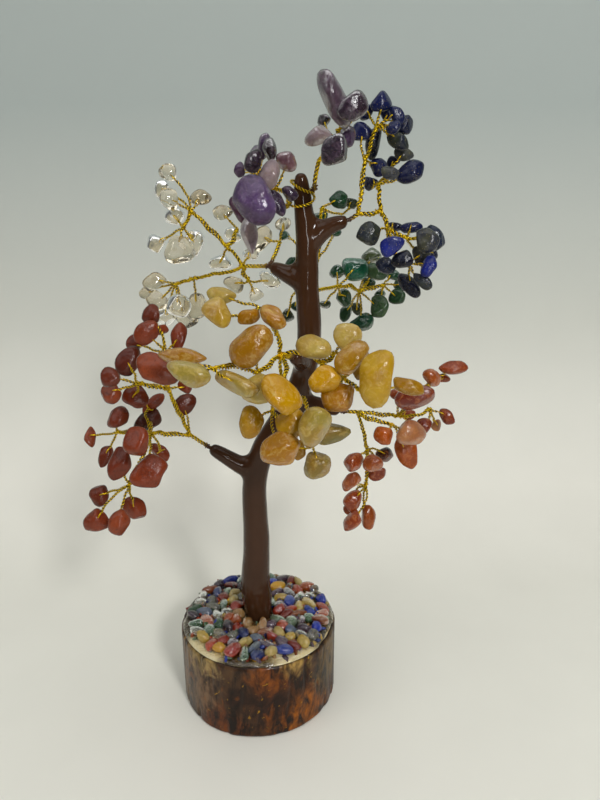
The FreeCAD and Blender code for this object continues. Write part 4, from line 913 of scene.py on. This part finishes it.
# %% Materials: the seven kinds of stone
stone_finish = {
    "jasper": stone_material("tumbled_red_jasper", "#5c2410", "#2e120a", 2.4, roughness=0.22),
    "yellow_quartz": stone_material(
        "tumbled_yellow_quartzite", "#9a6a04", "#c0a864", 3.0, soft=0.35, clear=0.15, roughness=0.15,
        veined=0.6,
    ),
    "carnelian": stone_material(
        "tumbled_carnelian", "#742c12", "#b87c4c", 2.0, soft=0.3, clear=0.2, roughness=0.14,
    ),
    "clear_quartz": stone_material(
        "tumbled_clear_quartz", "#e8e2d0", "#f4eee0", 3.4, clear=0.96, roughness=0.04, veined=0.2,
        pitted=0.03,
    ),
    "amethyst": stone_material(
        "tumbled_amethyst", "#38283c", "#8c7684", 2.8, clear=0.35, soft=0.2, roughness=0.14, veined=0.3,
    ),
    "lapis": stone_material(
        "tumbled_lapis", "#10153a", "#3e4650", 1.6, roughness=0.18, veined=0.3, specks="#9c8c58",
    ),
    "aventurine": stone_material(
        "tumbled_green_aventurine", "#143a24", "#4e6438", 1.8, clear=0.3, soft=0.3, roughness=0.12,
        veined=0.3,
    ),
}
print("made", [material.name for material in stone_finish.values()])

# %% [markdown]
# ## The stones on the sprays
# All the stones of a spray are one piece, because they ride on one body. They could each have their
# own material, but one material that reads the "tone" kept on each corner does for all of them.
# A stone's power says how sharp its edges stay. It steps through four values from stone to stone.

# %% Stones on the sprays
CROWN_POWER, CROWN_DENTS = 26, 0.025


def stones_mesh(name, pieces, ball, faces, tones, power, seed, dents):
    """All the stones of a node, worn, as one mesh that carries each stone's tone."""
    corners, triangles, colours = [], [], []
    for number, (piece, tone) in enumerate(zip(pieces, tones)):
        triangles.append(faces + len(ball) * number)
        corners.append(worn(*piece, ball, faces, power + 2 * (number % 4), seed + number, dents))
        colours += [linear(tone)] * len(ball)
    mesh = mesh_of(name, np.concatenate(corners), np.concatenate(triangles))
    store(mesh, "tone", colours)
    return mesh


for number, spray in enumerate(SPRAYS):
    kind = kind_of(spray)
    pieces = loose_pieces(spray + "_stones")
    tones = tones_for(spray, [box_middle(corners) for corners, _ in pieces], number)
    mesh = stones_mesh(
        f"{spray}_worn", pieces, fine_ball, fine_faces, tones, CROWN_POWER, 50 * number, CROWN_DENTS,
    )
    piece = new_object(f"{spray}_worn", mesh, stone_finish[kind])
    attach(piece, f"{spray}_spray")
    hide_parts(f"{spray}_stones")
    print(piece.name, "holds", len(pieces), "stones")

# %% [markdown]
# ## The trunk
# The real trunk is the bundle of all the wires, wrapped and then dipped in thick brown lacquer. The
# lacquer runs together in the crotches, so there are webs and no corners. In the CAD model the
# branches meet the trunk at sharp edges and end flat. A drop of lacquer rounds each end. To web the
# crotches, the skin is moved outward, rebuilt as one skin from small cubes, which swallows the
# narrow crotch, and moved back by the same amount. A bevel can't do that where skins cross.

# %% Shape of the lacquered trunk
WEB = 2.6 * MM
CUBE = 0.7 * MM
TIED_SPRAYS = ("amethyst_left", "amethyst_right")
ROOT_TO_TIP = 2.2 * MM
TIP_RADIUS = 2.55 * MM
TIP_DROP = 1.7 * MM
COAT, SAG, SAG_WAVE, SAG_SEED = 0.15 * MM, 0.22 * MM, 14 * MM, 5


def rebuilt(mesh, smoothing=0):
    """One closed skin round everything in a mesh, made from small cubes and then smoothed."""
    piece = new_object("skin", mesh)
    remesh = piece.modifiers.new("cubes", "REMESH")
    remesh.mode = "VOXEL"
    remesh.voxel_size = CUBE
    if smoothing:
        smooth = piece.modifiers.new("smooth", "SMOOTH")
        smooth.factor = 0.5
        smooth.iterations = smoothing
    return baked(piece)


def moved_out(mesh, distance):
    """Move every corner along its normal, by one distance or by one for each corner."""
    normals = rows_of(mesh.vertices, "normal")
    corners = rows_of(mesh.vertices, "co") + normals * np.reshape(distance, (-1, 1))
    mesh.vertices.foreach_set("co", corners.ravel())
    mesh.update()


def drop_at(middle, along, width, length):
    """A ball of lacquer that rounds the end of a branch, wide across the branch and shorter along it."""
    heights = ground_ball @ along
    return middle + ground_ball * width + (heights * (length - width))[:, None] * along


skin_corners, skin_faces = max(loose_pieces("trunk_coat"), key=lambda piece: np.ptp(piece[0][:, 2]))
for spray, (root, inward) in roots.items():
    if spray not in TIED_SPRAYS:
        skin_faces = np.concatenate([skin_faces, ground_faces + len(skin_corners)])
        drop_corners = drop_at(root + ROOT_TO_TIP * inward, inward, TIP_RADIUS, TIP_DROP)
        skin_corners = np.concatenate([skin_corners, drop_corners])
trunk_mesh = rebuilt(mesh_of("trunk_skin", skin_corners, skin_faces))
moved_out(trunk_mesh, WEB)
trunk_mesh = rebuilt(trunk_mesh, smoothing=4)
moved_out(trunk_mesh, -WEB)
trunk_mesh = rebuilt(trunk_mesh, smoothing=8)
moved_out(trunk_mesh, COAT + SAG * ripple(rows_of(trunk_mesh.vertices, "co"), SAG_WAVE, SAG_SEED))
trunk_mesh.shade_smooth()
trunk_mesh.name = "trunk_lacquered"
print("trunk has", len(trunk_mesh.polygons), "faces")

# %% [markdown]
# ## The lacquer
# It is a thick gloss lacquer that was poured on and set by itself. It is smooth as glass but hangs
# in slow waves, so the eye gets thin, sharp, slightly crooked lights on a nearly even dark brown.
# The waves are a bump of 4 mm noise, and the shine changes a little from place to place.

# %% Material: poured brown lacquer
lacquer, tree, shader, place = new_material("poured_brown_lacquer", IOR=1.42, Specular_IOR_Level=0.32)
cloud = add(tree, "ShaderNodeTexNoise", {"Vector": place, "Scale": 1 / (16 * MM), "Detail": 3.0})
colour = add(tree, "ShaderNodeMix", {"Factor": cloud, 6: "#341f0f", 7: "#442a1a"}, **COLOURS)
dull = add(tree, "ShaderNodeMapRange", {"Value": cloud, "To Min": 0.04, "To Max": 0.16})
sag = add(tree, "ShaderNodeTexNoise", {"Vector": place, "Scale": 1 / (4 * MM), "Detail": 1.0})
bump = add(tree, "ShaderNodeBump", {"Height": sag, "Strength": 0.5, "Distance": 0.4 * MM})
fill(shader, {"Base Color": colour, "Roughness": dull, "Normal": bump})

trunk = new_object("trunk_lacquered", trunk_mesh, lacquer)
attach(trunk, "stand")
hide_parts("trunk_coat", "wire_core")
print("made", lacquer.name)

# %% [markdown]
# ## The bark
# The base is a slice of branch with its bark left on and varnished. The bark is nearly smooth, with
# soft upright ridges and a few cracks. A Displace modifier on a cylinder could raise them, but the
# varnish needs to know how deep each point lies, to paint shade into the cracks. So a ring is built
# as a grid of points, each point is moved in by ridges that are much longer than they are wide, and
# its depth is kept with it.

# %% Shape of the bark
core_low, core_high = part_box("log_core")
ring_low, ring_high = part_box("bark_ring")
BARK_OUTER = (ring_high[0] - ring_low[0]) / 2
BARK_INNER = (core_high[0] - core_low[0]) / 2
BARK_HEIGHT = ring_high[2] - ring_low[2]
BARK_TURNS, BARK_ROWS = 420, 74
UPRIGHT = 0.22
TOP_WAVES = 0.5 * MM
WORN_EDGE, WORN_EDGE_DEPTH = 1.6 * MM, 0.9 * MM
DEEP_CRACK = 2.4 * MM


def bark_depth(turn, height):
    """How far the bark lies in from its outermost reach."""
    around = np.stack([np.cos(turn) * BARK_OUTER, np.sin(turn) * BARK_OUTER, height * UPRIGHT], axis=-1)
    flat = around.reshape(-1, 3)
    swell = ripple(flat, 34 * MM, 11)
    ridge = ripple(flat, 9 * MM, 12)
    crack = np.clip(ripple(flat, 5 * MM, 13, terms=5) - 0.35, 0, 1)
    fine = ripple(flat * (1, 1, 3), 2.4 * MM, 14)
    depth = 0.75 - 0.55 * swell - 0.28 * ridge + 1.5 * crack - 0.07 * fine  # in millimetres
    return np.clip(depth, 0, None).reshape(turn.shape) * MM


def tube_faces(rows, columns):
    """Quads of a grid whose columns and rows both close into rings, facing outwards."""
    row, column = np.meshgrid(np.arange(rows), np.arange(columns), indexing="ij")
    here, above = row * columns, (row + 1) % rows * columns
    after = (column + 1) % columns
    return np.stack([here + column, here + after, above + after, above + column], axis=-1).reshape(-1, 4)


turn = np.linspace(0, 2 * math.pi, BARK_TURNS, endpoint=False)
grid_turn, grid_rise = np.meshgrid(turn, np.linspace(0, 1, BARK_ROWS))
top_ring = np.stack([np.cos(turn), np.sin(turn), 0 * turn], axis=1) * BARK_OUTER
wavy_top = TOP_WAVES * ripple(top_ring, 8 * MM, 15)
height = ring_low[2] + grid_rise * (BARK_HEIGHT - TOP_WAVES + np.minimum(wavy_top, TOP_WAVES)[None])
radius = BARK_OUTER - bark_depth(grid_turn, height)
edge = np.minimum(grid_rise, 1 - grid_rise) * BARK_HEIGHT / WORN_EDGE
radius -= WORN_EDGE_DEPTH * np.clip(1 - edge, 0, 1) ** 2
inner = np.full(BARK_TURNS, BARK_INNER)
rows_radius = np.concatenate([[inner], radius, [inner]])
rows_height = np.concatenate([height[:1], height, height[-1:]])
bark_corners = np.stack([rows_radius * np.cos(turn), rows_radius * np.sin(turn), rows_height], axis=-1)
bark_mesh = mesh_of("bark_varnished", bark_corners.reshape(-1, 3), tube_faces(len(rows_radius), BARK_TURNS))
store(bark_mesh, "depth", (BARK_OUTER - rows_radius) / DEEP_CRACK)
print("bark from", round(BARK_INNER / MM, 1), "to", round(BARK_OUTER / MM, 1), "mm")

# %% [markdown]
# ## The varnish on it
# Bark is dull, but a thin coat of varnish wets it, so the eye gets a deep brown with a soft shine:
# grey where the outer bark is thick, orange where the inner bark shows, and black in the deep cracks
# as painted shade.
# The largest patches are listed by their angle and height in the photograph, with ragged edges. The
# amber one at the top middle and the orange one low on the right are partly the bark's own colour
# and partly painted highlight.
# Over them lie dark streaks along the grain, amber spots and yellow flecks.

# %% Material: varnished bark
# the patches at -80 and -55 degrees are partly painted highlight over the bark's own amber
BARK_PATCHES = (
    (-80, 35, 11, "#84440a"), (-55, 8, 15, "#9a5408"), (-114, 3, 14, "#6a3410"), (-24, 26, 15, "#6e5630"),
    (-150, 24, 22, "#7a5e44"), (-74, 17, 10, "#22100a"), (-100, 22, 9, "#2e180c"),
    (-132, 40, 10, "#a88c54"), (-60, 40, 9, "#b4904c"), (60, 12, 14, "#7c3c06"), (140, 30, 18, "#5c4632"),
)
RAGGED = 26 * MM

bark, tree, shader, place = new_material(
    "varnished_bark", Coat_Weight=0.15, Coat_Roughness=0.12, IOR=1.45, Specular_IOR_Level=0.2,
)
grain = add(tree, "ShaderNodeMapping", {"Vector": place, "Scale": (1.0, 1.0, 0.42)})
deep = add(tree, "ShaderNodeAttribute", out="Fac", attribute_name="depth")
streak, spots, blots, flecks, region = (
    add(tree, "ShaderNodeTexNoise", {"Vector": along, "Scale": 1 / (size * MM), **look})
    for along, size, look in (
        (grain, 5, {"Detail": 6.0, "Roughness": 0.65, "Distortion": 0.4}),
        (grain, 7, {"Detail": 5.0, "Distortion": 0.9}),
        (place, 7, {"Detail": 6.0, "Distortion": 1.2}),
        (place, 3.4, {"Detail": 4.0, "Distortion": 0.8}),
        (place, 34, {"Detail": 2.0}),
    )
)
share = add(tree, "ShaderNodeMapRange", {"Value": region, "From Min": 0.4, "From Max": 0.6})
outer = add(tree, "ShaderNodeMix", {"Factor": share, 6: "#4e3620", 7: "#46240e"}, **COLOURS)
for degrees, height, reach, patch_colour in BARK_PATCHES:
    angle = math.radians(degrees)
    spot = (BARK_OUTER * math.cos(angle), BARK_OUTER * math.sin(angle), height * MM)
    gap = add(tree, "ShaderNodeVectorMath", {0: place, 1: spot}, out="Value", operation="DISTANCE")
    ragged = add(tree, "ShaderNodeMath", {0: blots, 1: -RAGGED, 2: gap}, operation="MULTIPLY_ADD")
    share = add(tree, "ShaderNodeMapRange", {
        "Value": ragged, "From Min": (reach - 10) * MM, "From Max": (reach - 18) * MM, "To Max": 0.9,
    })
    outer = add(tree, "ShaderNodeMix", {"Factor": share, 6: outer, 7: patch_colour}, **COLOURS)
amber = add(tree, "ShaderNodeMix", {"Factor": flecks, 6: "#5a2604", 7: "#a85c06"}, **COLOURS)
colour = "#180a03"
# the last of these is painted shade: the deeper a point lies in a crack, the nearer it goes to black
for pattern, start, end, most, over in (
    (streak, 0.38, 0.6, 1.0, outer), (spots, 0.6, 0.72, 0.6, amber),
    (flecks, 0.66, 0.76, 1.0, "#b48410"), (deep, 0.45, 0.85, 1.0, "#1c0e08"),
):
    share = add(tree, "ShaderNodeMapRange", {
        "Value": pattern, "From Min": start, "From Max": end, "To Max": most,
    })
    colour = add(tree, "ShaderNodeMix", {"Factor": share, 6: colour, 7: over}, **COLOURS)
shine = add(tree, "ShaderNodeMapRange", {"Value": streak, "To Min": 0.25, "To Max": 0.55})
bump = add(tree, "ShaderNodeBump", {"Height": streak, "Strength": 0.5, "Distance": 0.6 * MM})
fill(shader, {"Base Color": colour, "Roughness": shine, "Normal": bump})

bark_piece = new_object("bark_varnished", bark_mesh, bark)
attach(bark_piece, "stand")
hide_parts("bark_ring")
print("made", bark.name, "with", len(tree.nodes), "nodes")

# %% [markdown]
# ## The wood under it
# The sawn wood shows only as a pale rim between the bark and the glued chips, and underneath. Its
# shape in the CAD model is right, so the CAD node stays and gets a better surface: growth rings
# round the middle, broken a little by noise, and darker where dirt has gone in. Sawn and thinly
# varnished wood gives the eye a pale, even colour under a broad, soft shine.

# %% Material: sawn branch wood
RINGS_SCALE = 1 / (1.6 * MM) / 6.3  # a wave texture repeats every 0.314 units: a ring every 3.2 mm

wood, tree, shader, place = new_material(
    "sawn_branch_wood", Roughness=0.5, Coat_Weight=0.5, Coat_Roughness=0.2,
)
flat = add(tree, "ShaderNodeMapping", {"Vector": place, "Scale": (1.0, 1.0, 0.02)})
rings = add(tree, "ShaderNodeTexWave", {
    "Vector": flat, "Scale": RINGS_SCALE, "Distortion": 2.5, "Detail": 3.0, "Detail Scale": 1.4,
}, out="Fac", wave_type="RINGS", rings_direction="Z")
grime = add(tree, "ShaderNodeTexNoise", {"Vector": place, "Scale": 1 / (6 * MM), "Detail": 5.0})
share = add(tree, "ShaderNodeMapRange", {"Value": grime, "From Min": 0.5, "From Max": 0.7})
colour = add(tree, "ShaderNodeMix", {"Factor": rings, 6: "#e3d3a6", 7: "#cdb481"}, **COLOURS)
colour = add(tree, "ShaderNodeMix", {"Factor": share, 6: colour, 7: "#a8834a"}, **COLOURS)
bump = add(tree, "ShaderNodeBump", {"Height": rings, "Strength": 0.3, "Distance": 0.2 * MM})
fill(shader, {"Base Color": colour, "Normal": bump})
nodes["log_core"].data.materials.clear()
nodes["log_core"].data.materials.append(wood)
print("the sawn wood has", len(wood.node_tree.nodes), "nodes")

# %% [markdown]
# ## The puddle of glue
# Small chips of all the kinds are set close together in a puddle of clear glue. The puddle has a
# rounded, uneven edge and is thinner between the chips. A flattened ball would be too even, so it
# is a disc of points whose rim wanders in and out, with a hole for the trunk, closed underneath.
# At the front it has run onto the bark in two places.

# %% Shape of the puddle of glue
glue_low, glue_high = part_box("glue_bed")
GLUE_REACH = (glue_high[0] - glue_low[0]) / 2
GLUE_RINGS, GLUE_TURNS = 30, 240
GLUE_OVER_BARK = 1.2 * MM
GLUE_ROUNDING = 1.4 * MM
SPILLS = (math.radians(-132), math.radians(-58))
trunk_foot = np.linalg.norm(trunk_corners[:, :2], axis=1)[trunk_corners[:, 2] < glue_high[2]].max()

turn = np.linspace(0, 2 * math.pi, GLUE_TURNS, endpoint=False)
circle = np.stack([np.cos(turn), np.sin(turn)], axis=1)
even_rim = np.c_[circle * GLUE_REACH, 0 * turn]
spill = 0.7 + 0.9 * ripple(even_rim, 26 * MM, 31) + 0.3 * ripple(even_rim, 7 * MM, 33)
for angle in SPILLS:
    spill += 0.8 * np.clip(np.cos(turn - angle), 0, 1) ** 8
rim = GLUE_REACH + (BARK_INNER + GLUE_OVER_BARK - GLUE_REACH) * np.clip(spill, -0.4, 1)
share = np.linspace(0, 1, GLUE_RINGS)[:, None]
glue_radius = trunk_foot * 0.9 + (rim - trunk_foot * 0.9) * share
flat = (glue_radius[:, :, None] * circle[None]).reshape(-1, 2)
waves = ripple(np.c_[flat, 0 * flat[:, 0]], 5 * MM, 32).reshape(glue_radius.shape)
fall = np.clip(1 - ((rim - glue_radius) / GLUE_ROUNDING), 0, 1) ** 2
glue_height = glue_low[2] + (glue_high[2] - glue_low[2]) * (0.85 + 0.25 * waves) * (1 - 0.92 * fall)
top = np.stack([glue_radius * circle[:, 0], glue_radius * circle[:, 1], glue_height], axis=-1)
under = top[::-1][[0, -1]].copy()
under[..., 2] = glue_low[2]
glue_corners = np.concatenate([top[::-1], under[::-1]])
glue_mesh = mesh_of("glue_puddle", glue_corners.reshape(-1, 3), tube_faces(len(glue_corners), GLUE_TURNS))
print("glue reaches", round(GLUE_REACH / MM, 1), "mm, its top is at", round(glue_high[2] / MM, 1), "mm")

# %% [markdown]
# ## The clear glue
# It is clear resin glue that set in the air, so its skin is very glossy and dimpled, and the eye
# gets many small wet lights. Between the chips, where it is deep, it is dark amber. In the two
# spills it is thin and milky, and shows the pale wood under it.

# %% Material: set clear glue
SPILL_REACH, SPILL_FULL = 15 * MM, 8 * MM

glue, tree, shader, place = new_material(
    "set_clear_glue", Coat_Weight=1.0, Coat_Roughness=0.03, IOR=1.49, Roughness=0.12,
    Subsurface_Weight=0.5, Subsurface_Scale=2 * MM, Subsurface_Radius=(1.0, 0.9, 0.6),
)
milky = add(tree, "ShaderNodeTexNoise", {"Vector": place, "Scale": 1 / (7 * MM), "Detail": 4.0})
share = add(tree, "ShaderNodeMapRange", {"Value": milky, "From Min": 0.4, "From Max": 0.62})
colour = add(tree, "ShaderNodeMix", {"Factor": share, 6: "#6a5428", 7: "#a08a54"}, **COLOURS)
for angle in SPILLS:
    spot = (GLUE_REACH * math.cos(angle), GLUE_REACH * math.sin(angle), glue_high[2])
    gap = add(tree, "ShaderNodeVectorMath", {0: place, 1: spot}, out="Value", operation="DISTANCE")
    share = add(tree, "ShaderNodeMapRange", {"Value": gap, "From Min": SPILL_REACH, "From Max": SPILL_FULL})
    thin = add(tree, "ShaderNodeMix", {"Factor": milky, 6: "#b89a5c", 7: "#f6ecc4"}, **COLOURS)
    colour = add(tree, "ShaderNodeMix", {"Factor": share, 6: colour, 7: thin}, **COLOURS)
    milky = add(tree, "ShaderNodeMath", {0: milky, 1: share}, operation="ADD")
clear = add(tree, "ShaderNodeMapRange", {
    "Value": milky, "From Min": 0.4, "From Max": 1.2, "To Min": 0.8, "To Max": 0.1,
})
drops = add(tree, "ShaderNodeTexNoise", {"Vector": place, "Scale": 1 / (1.6 * MM), "Detail": 3.0})
bump = add(tree, "ShaderNodeBump", {"Height": drops, "Strength": 1.0, "Distance": 0.8 * MM})
fill(shader, {"Base Color": colour, "Transmission Weight": clear, "Normal": bump, "Coat Normal": bump})

glue_piece = new_object("glue_puddle", glue_mesh, glue)
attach(glue_piece, "stand")
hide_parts("glue_bed")
print("made", glue.name, "with", len(tree.nodes), "nodes")

# %% [markdown]
# ## Filling in with splinters
# Between the chips of the CAD model lie many smaller splinters. They are all one rough shape, so
# Geometry Nodes strew it: points are spread over the glue no closer than a set distance, and each
# gets a copy, turned at random and stretched differently along its three axes. The tree runs once
# for each kind of stone, each with its own seed, so the kinds mix.

# %% Geometry Nodes tree: strewn splinters
FULL_TURN = 6.3

strew_tree, given = new_tree(
    "strewn_splinters", "Splinters", Bed="Geometry", Splinter="Object", Least_Gap="Float",
    Most_per_Area="Float", Least_Size="Vector", Most_Size="Vector", Seed="Int", Stone="Material",
)
spots = add(strew_tree, "GeometryNodeDistributePointsOnFaces", {
    "Mesh": given["Bed"], "Distance Min": given["Least Gap"], "Density Max": given["Most per Area"],
    "Seed": given["Seed"],
}, distribute_method="POISSON")
splinter = add(strew_tree, "GeometryNodeObjectInfo", {"Object": given["Splinter"]}, out="Geometry")
spin = add(strew_tree, "FunctionNodeRandomValue", {
    0: (0.0, 0.0, 0.0), 1: (FULL_TURN, FULL_TURN, FULL_TURN), "Seed": given["Seed"],
}, data_type="FLOAT_VECTOR")
size = add(strew_tree, "FunctionNodeRandomValue", {
    0: given["Least Size"], 1: given["Most Size"], "Seed": given["Seed"],
}, data_type="FLOAT_VECTOR")
strewn = add(strew_tree, "GeometryNodeInstanceOnPoints", {
    "Points": spots, "Instance": splinter, "Rotation": spin, "Scale": size,
})
strewn = add(strew_tree, "GeometryNodeRealizeInstances", {"Geometry": strewn})
strewn = add(strew_tree, "GeometryNodeSetMaterial", {"Geometry": strewn, "Material": given["Stone"]})
add(strew_tree, "NodeGroupOutput", {"Splinters": strewn}, out=None)
print("tree", strew_tree.name, "has", len(strew_tree.nodes), "nodes")

# %% [markdown]
# ## The bed and the one splinter
# The splinters need a surface to lie on. It follows the glue's rim but stays clear of the trunk and
# of the edge, and rises a little in the middle, as the real heap does. The splinter is a ball of
# few faces, pulled out of shape and shaded flat, because it is copied hundreds of times.

# %% Bed and splinter
HEAP = 0.9 * MM
BED_RINGS = 12
BED_START, BED_SHORT = 1.6 * MM, 2.7 * MM

bed_share = np.linspace(0, 1, BED_RINGS)[:, None]
bed_ring = trunk_foot + BED_START + (np.minimum(rim, BARK_INNER) - trunk_foot - BED_SHORT) * bed_share
bed_heap = glue_high[2] + HEAP * np.clip(np.sin(math.pi * bed_share), 0, 1) ** 0.7
bed_across, bed_back = bed_ring * circle[:, 0], bed_ring * circle[:, 1]
bed_corners = np.stack(np.broadcast_arrays(bed_across, bed_back, bed_heap), axis=-1)
bed_faces = tube_faces(BED_RINGS, GLUE_TURNS)[:(BED_RINGS - 1) * GLUE_TURNS]
splinter_reach = 1 + 0.35 * ripple(coarse_ball, 1.3, 77) - 2.5 * hollows(coarse_ball, 78)
splinter_mesh = mesh_of("splinter", coarse_ball * splinter_reach[:, None], coarse_faces, smooth=False)
print("the bed reaches", round(float(bed_ring.max() / MM), 1), "mm from the trunk's middle")

# %% [markdown]
# ## The chips on the base
# These are the same stones as in the crown, but wet with glue, so they have a clear coat over them
# and look deeper and more vivid to the eye. Chips and splinters of one kind become one piece.

# %% Chips and splinters of the base
GROUND_TONES = {
    "jasper": ["#8e260e", "#6a1c0c", "#a43a12"],
    "yellow_quartz": ["#d09a06", "#b8a050", "#c48e0a", "#bcac70"],
    "carnelian": ["#a8481a", "#b08c58", "#7c3012"],
    "clear_quartz": ["#b4b09c", "#9c9c8c", "#ccc6ac"],
    "amethyst": ["#503a4a", "#765f6c", "#34262e"],
    "lapis": ["#182c94", "#24388a", "#5c6468", "#141c40"],
    "aventurine": ["#4c7448", "#2c5436", "#84987a"],
}
GROUND_VEILS = {
    "jasper": ("#6c2410", "#3a140a", 0.2),
    "yellow_quartz": ("#b88c14", "#8c640c", 0.35),
    "carnelian": ("#9c6838", "#6a3014", 0.45),
    "clear_quartz": ("#b4b09e", "#ccc8b4", 0.9),
    "amethyst": ("#4c3848", "#88747e", 0.6),
    "lapis": ("#1c2c6c", "#505c74", 0.15),
    "aventurine": ("#40663e", "#8a9a7c", 0.6),
}
GROUND_POWER, GROUND_DENTS, GROUND_SEED = 22, 0.06, 900
SPLINTERS = dict(
    Splinter=new_object("splinter", splinter_mesh), Least_Gap=3.4 * MM, Most_per_Area=22000.0,
    Least_Size=(1.4 * MM, 1.0 * MM, 0.8 * MM), Most_Size=(3.4 * MM, 2.2 * MM, 1.6 * MM),
)

for number, (kind, palette) in enumerate(GROUND_TONES.items()):
    veil, vein, clear = GROUND_VEILS[kind]
    finish = stone_material(
        f"glued_{kind}", veil, vein, 2.0, clear=clear, soft=0.1, roughness=0.12, veined=0.4, wet=0.8,
        pitted=0.9,
    )
    pieces = loose_pieces(f"ground_{kind}")
    random = np.random.default_rng(number)
    chips = stones_mesh(
        f"ground_{kind}_chips", pieces, ground_ball, ground_faces, picked(palette, len(pieces), random),
        GROUND_POWER, GROUND_SEED + 40 * number, GROUND_DENTS,
    )
    chips.materials.append(finish)
    bed = mesh_of("bed", bed_corners.reshape(-1, 3), bed_faces)
    strewn = grown(bed, strew_tree, Seed=number, Stone=finish, **SPLINTERS)
    count = len(strewn.polygons) // len(coarse_faces)
    colours = [linear(tone) for tone in picked(palette, count, random)]
    store(strewn, "tone", np.repeat(colours, len(coarse_ball), axis=0))
    piece = new_object(f"ground_{kind}_chips", joined(f"ground_{kind}_chips", [chips, strewn]))
    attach(piece, "stand")
    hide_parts(f"ground_{kind}")
    print(piece.name, "holds", len(pieces), "chips and", count, "splinters")
bpy.data.objects.remove(SPLINTERS["Splinter"])

# %% [markdown]
# ## The floor
# The floor is a plain pale cloth that curves up close behind the tree, and it is painted greyer with
# height, as shade.
# Cotton is matt, so it gives the eye no lights, only soft shadows. From behind, the cloth would hide
# the tree, so a camera ray that meets its back goes straight through. To all other rays it is solid,
# and the light on the tree is the same from every side.

# %% Floor
FLOOR_SIDE, FLOOR_FRONT, FLOOR_BACK, FLOOR_CURVE, FLOOR_TOP = 2.5, -2.5, 0.09, 0.16, 1.6
profile = [(FLOOR_FRONT, 0.0), (FLOOR_BACK, 0.0)]
profile += [
    (FLOOR_BACK + FLOOR_CURVE * math.sin(lean), FLOOR_CURVE * (1 - math.cos(lean)))
    for lean in np.linspace(0, math.pi / 2, 25)[1:]
]
profile.append((FLOOR_BACK + FLOOR_CURVE, FLOOR_TOP))
floor_corners = [(side * FLOOR_SIDE, back, up) for back, up in profile for side in (-1, 1)]
floor_faces = [(2 * row, 2 * row + 1, 2 * row + 3, 2 * row + 2) for row in range(len(profile) - 1)]

cloth, tree, shader, place = new_material("pale_cloth", Roughness=0.9)
fibre = add(tree, "ShaderNodeTexNoise", {"Vector": place, "Scale": 1 / (60 * MM), "Detail": 3.0})
height = add(tree, "ShaderNodeSeparateXYZ", {"Vector": place}, out="Z")
# painted shade: the cloth turns grey as it rises, where it gets less light
share = add(tree, "ShaderNodeMapRange", {"Value": height, "From Min": 0.03, "From Max": 0.32})
colour = add(tree, "ShaderNodeMix", {"Factor": fibre, 6: "#e2e0d5", 7: "#eae8dd"}, **COLOURS)
colour = add(tree, "ShaderNodeMix", {"Factor": share, 6: colour, 7: "#a8b0ac"}, **COLOURS)
fill(shader, {"Base Color": colour})
seen = add(tree, "ShaderNodeLightPath", out="Is Camera Ray")
behind = add(tree, "ShaderNodeNewGeometry", out="Backfacing")
left_out = add(tree, "ShaderNodeMath", {0: seen, 1: behind}, operation="MULTIPLY")
nothing = add(tree, "ShaderNodeBsdfTransparent")
one_sided = add(tree, "ShaderNodeMixShader", {0: left_out, 1: shader.outputs[0], 2: nothing})
fill(tree.get_output_node("ALL"), {"Surface": one_sided})
floor = new_object("floor", mesh_of("floor", floor_corners, floor_faces), cloth)
print("the cloth curves up", FLOOR_BACK, "m behind the trunk")

# %% [markdown]
# ## Light
# One lamp in front and to the right gives the shapes their shadow side and throws the soft shadows
# onto the cloth. Softer ones fill from the left and from above, and a narrow upright one, as dim as a
# far window, draws the thin bright lines in the lacquer. Together they show a colour about as
# written. The world is a dim, even fill. Only what the camera sees directly or through clear stone
# gets a paler world, so that views from behind have a pale background.

# %% Lamps and world
AIM = np.array([0, 0, 0.15])


def lamp(name, place, width, height, power):
    """A rectangular lamp that faces the middle of the tree."""
    light = bpy.data.objects.new(name, bpy.data.lights.new(name, "AREA"))
    light.data.shape = "RECTANGLE"
    light.data.size = width
    light.data.size_y = height
    light.data.energy = power
    light.location = place
    across, back, up = unit(AIM - place)
    light.rotation_euler = (math.acos(-up), 0, math.atan2(back, across) - math.pi / 2)
    bpy.context.scene.collection.objects.link(light)


lamp("front_right", (0.4, -0.8, 0.75), 0.16, 0.16, 5.5)
lamp("front_left", (-0.8, -0.5, 0.8), 0.7, 0.7, 2.0)
lamp("overhead", (0.05, -0.1, 1.5), 1.6, 1.6, 11.0)
lamp("far_window", (0.12, -1.1, 0.32), 0.07, 0.26, 1.2)
world = bpy.data.worlds.new("pale_room")
world.use_nodes = True
rays = add(world.node_tree, "ShaderNodeLightPath", out=None).outputs
seen = add(world.node_tree, "ShaderNodeMath", {
    0: rays["Is Camera Ray"], 1: rays["Is Transmission Ray"],
}, operation="MAXIMUM")
strength = add(world.node_tree, "ShaderNodeMapRange", {"Value": seen, "To Min": 0.13, "To Max": 0.46})
fill(world.node_tree.nodes["Background"], {"Color": "#eef1f4", "Strength": strength})
bpy.context.scene.world = world
bpy.context.scene.view_settings.view_transform = "Standard"

# %% [markdown]
# ## Finish

# %% Finish
print("dressed", len(nodes), "CAD nodes, and now writing both boxes")
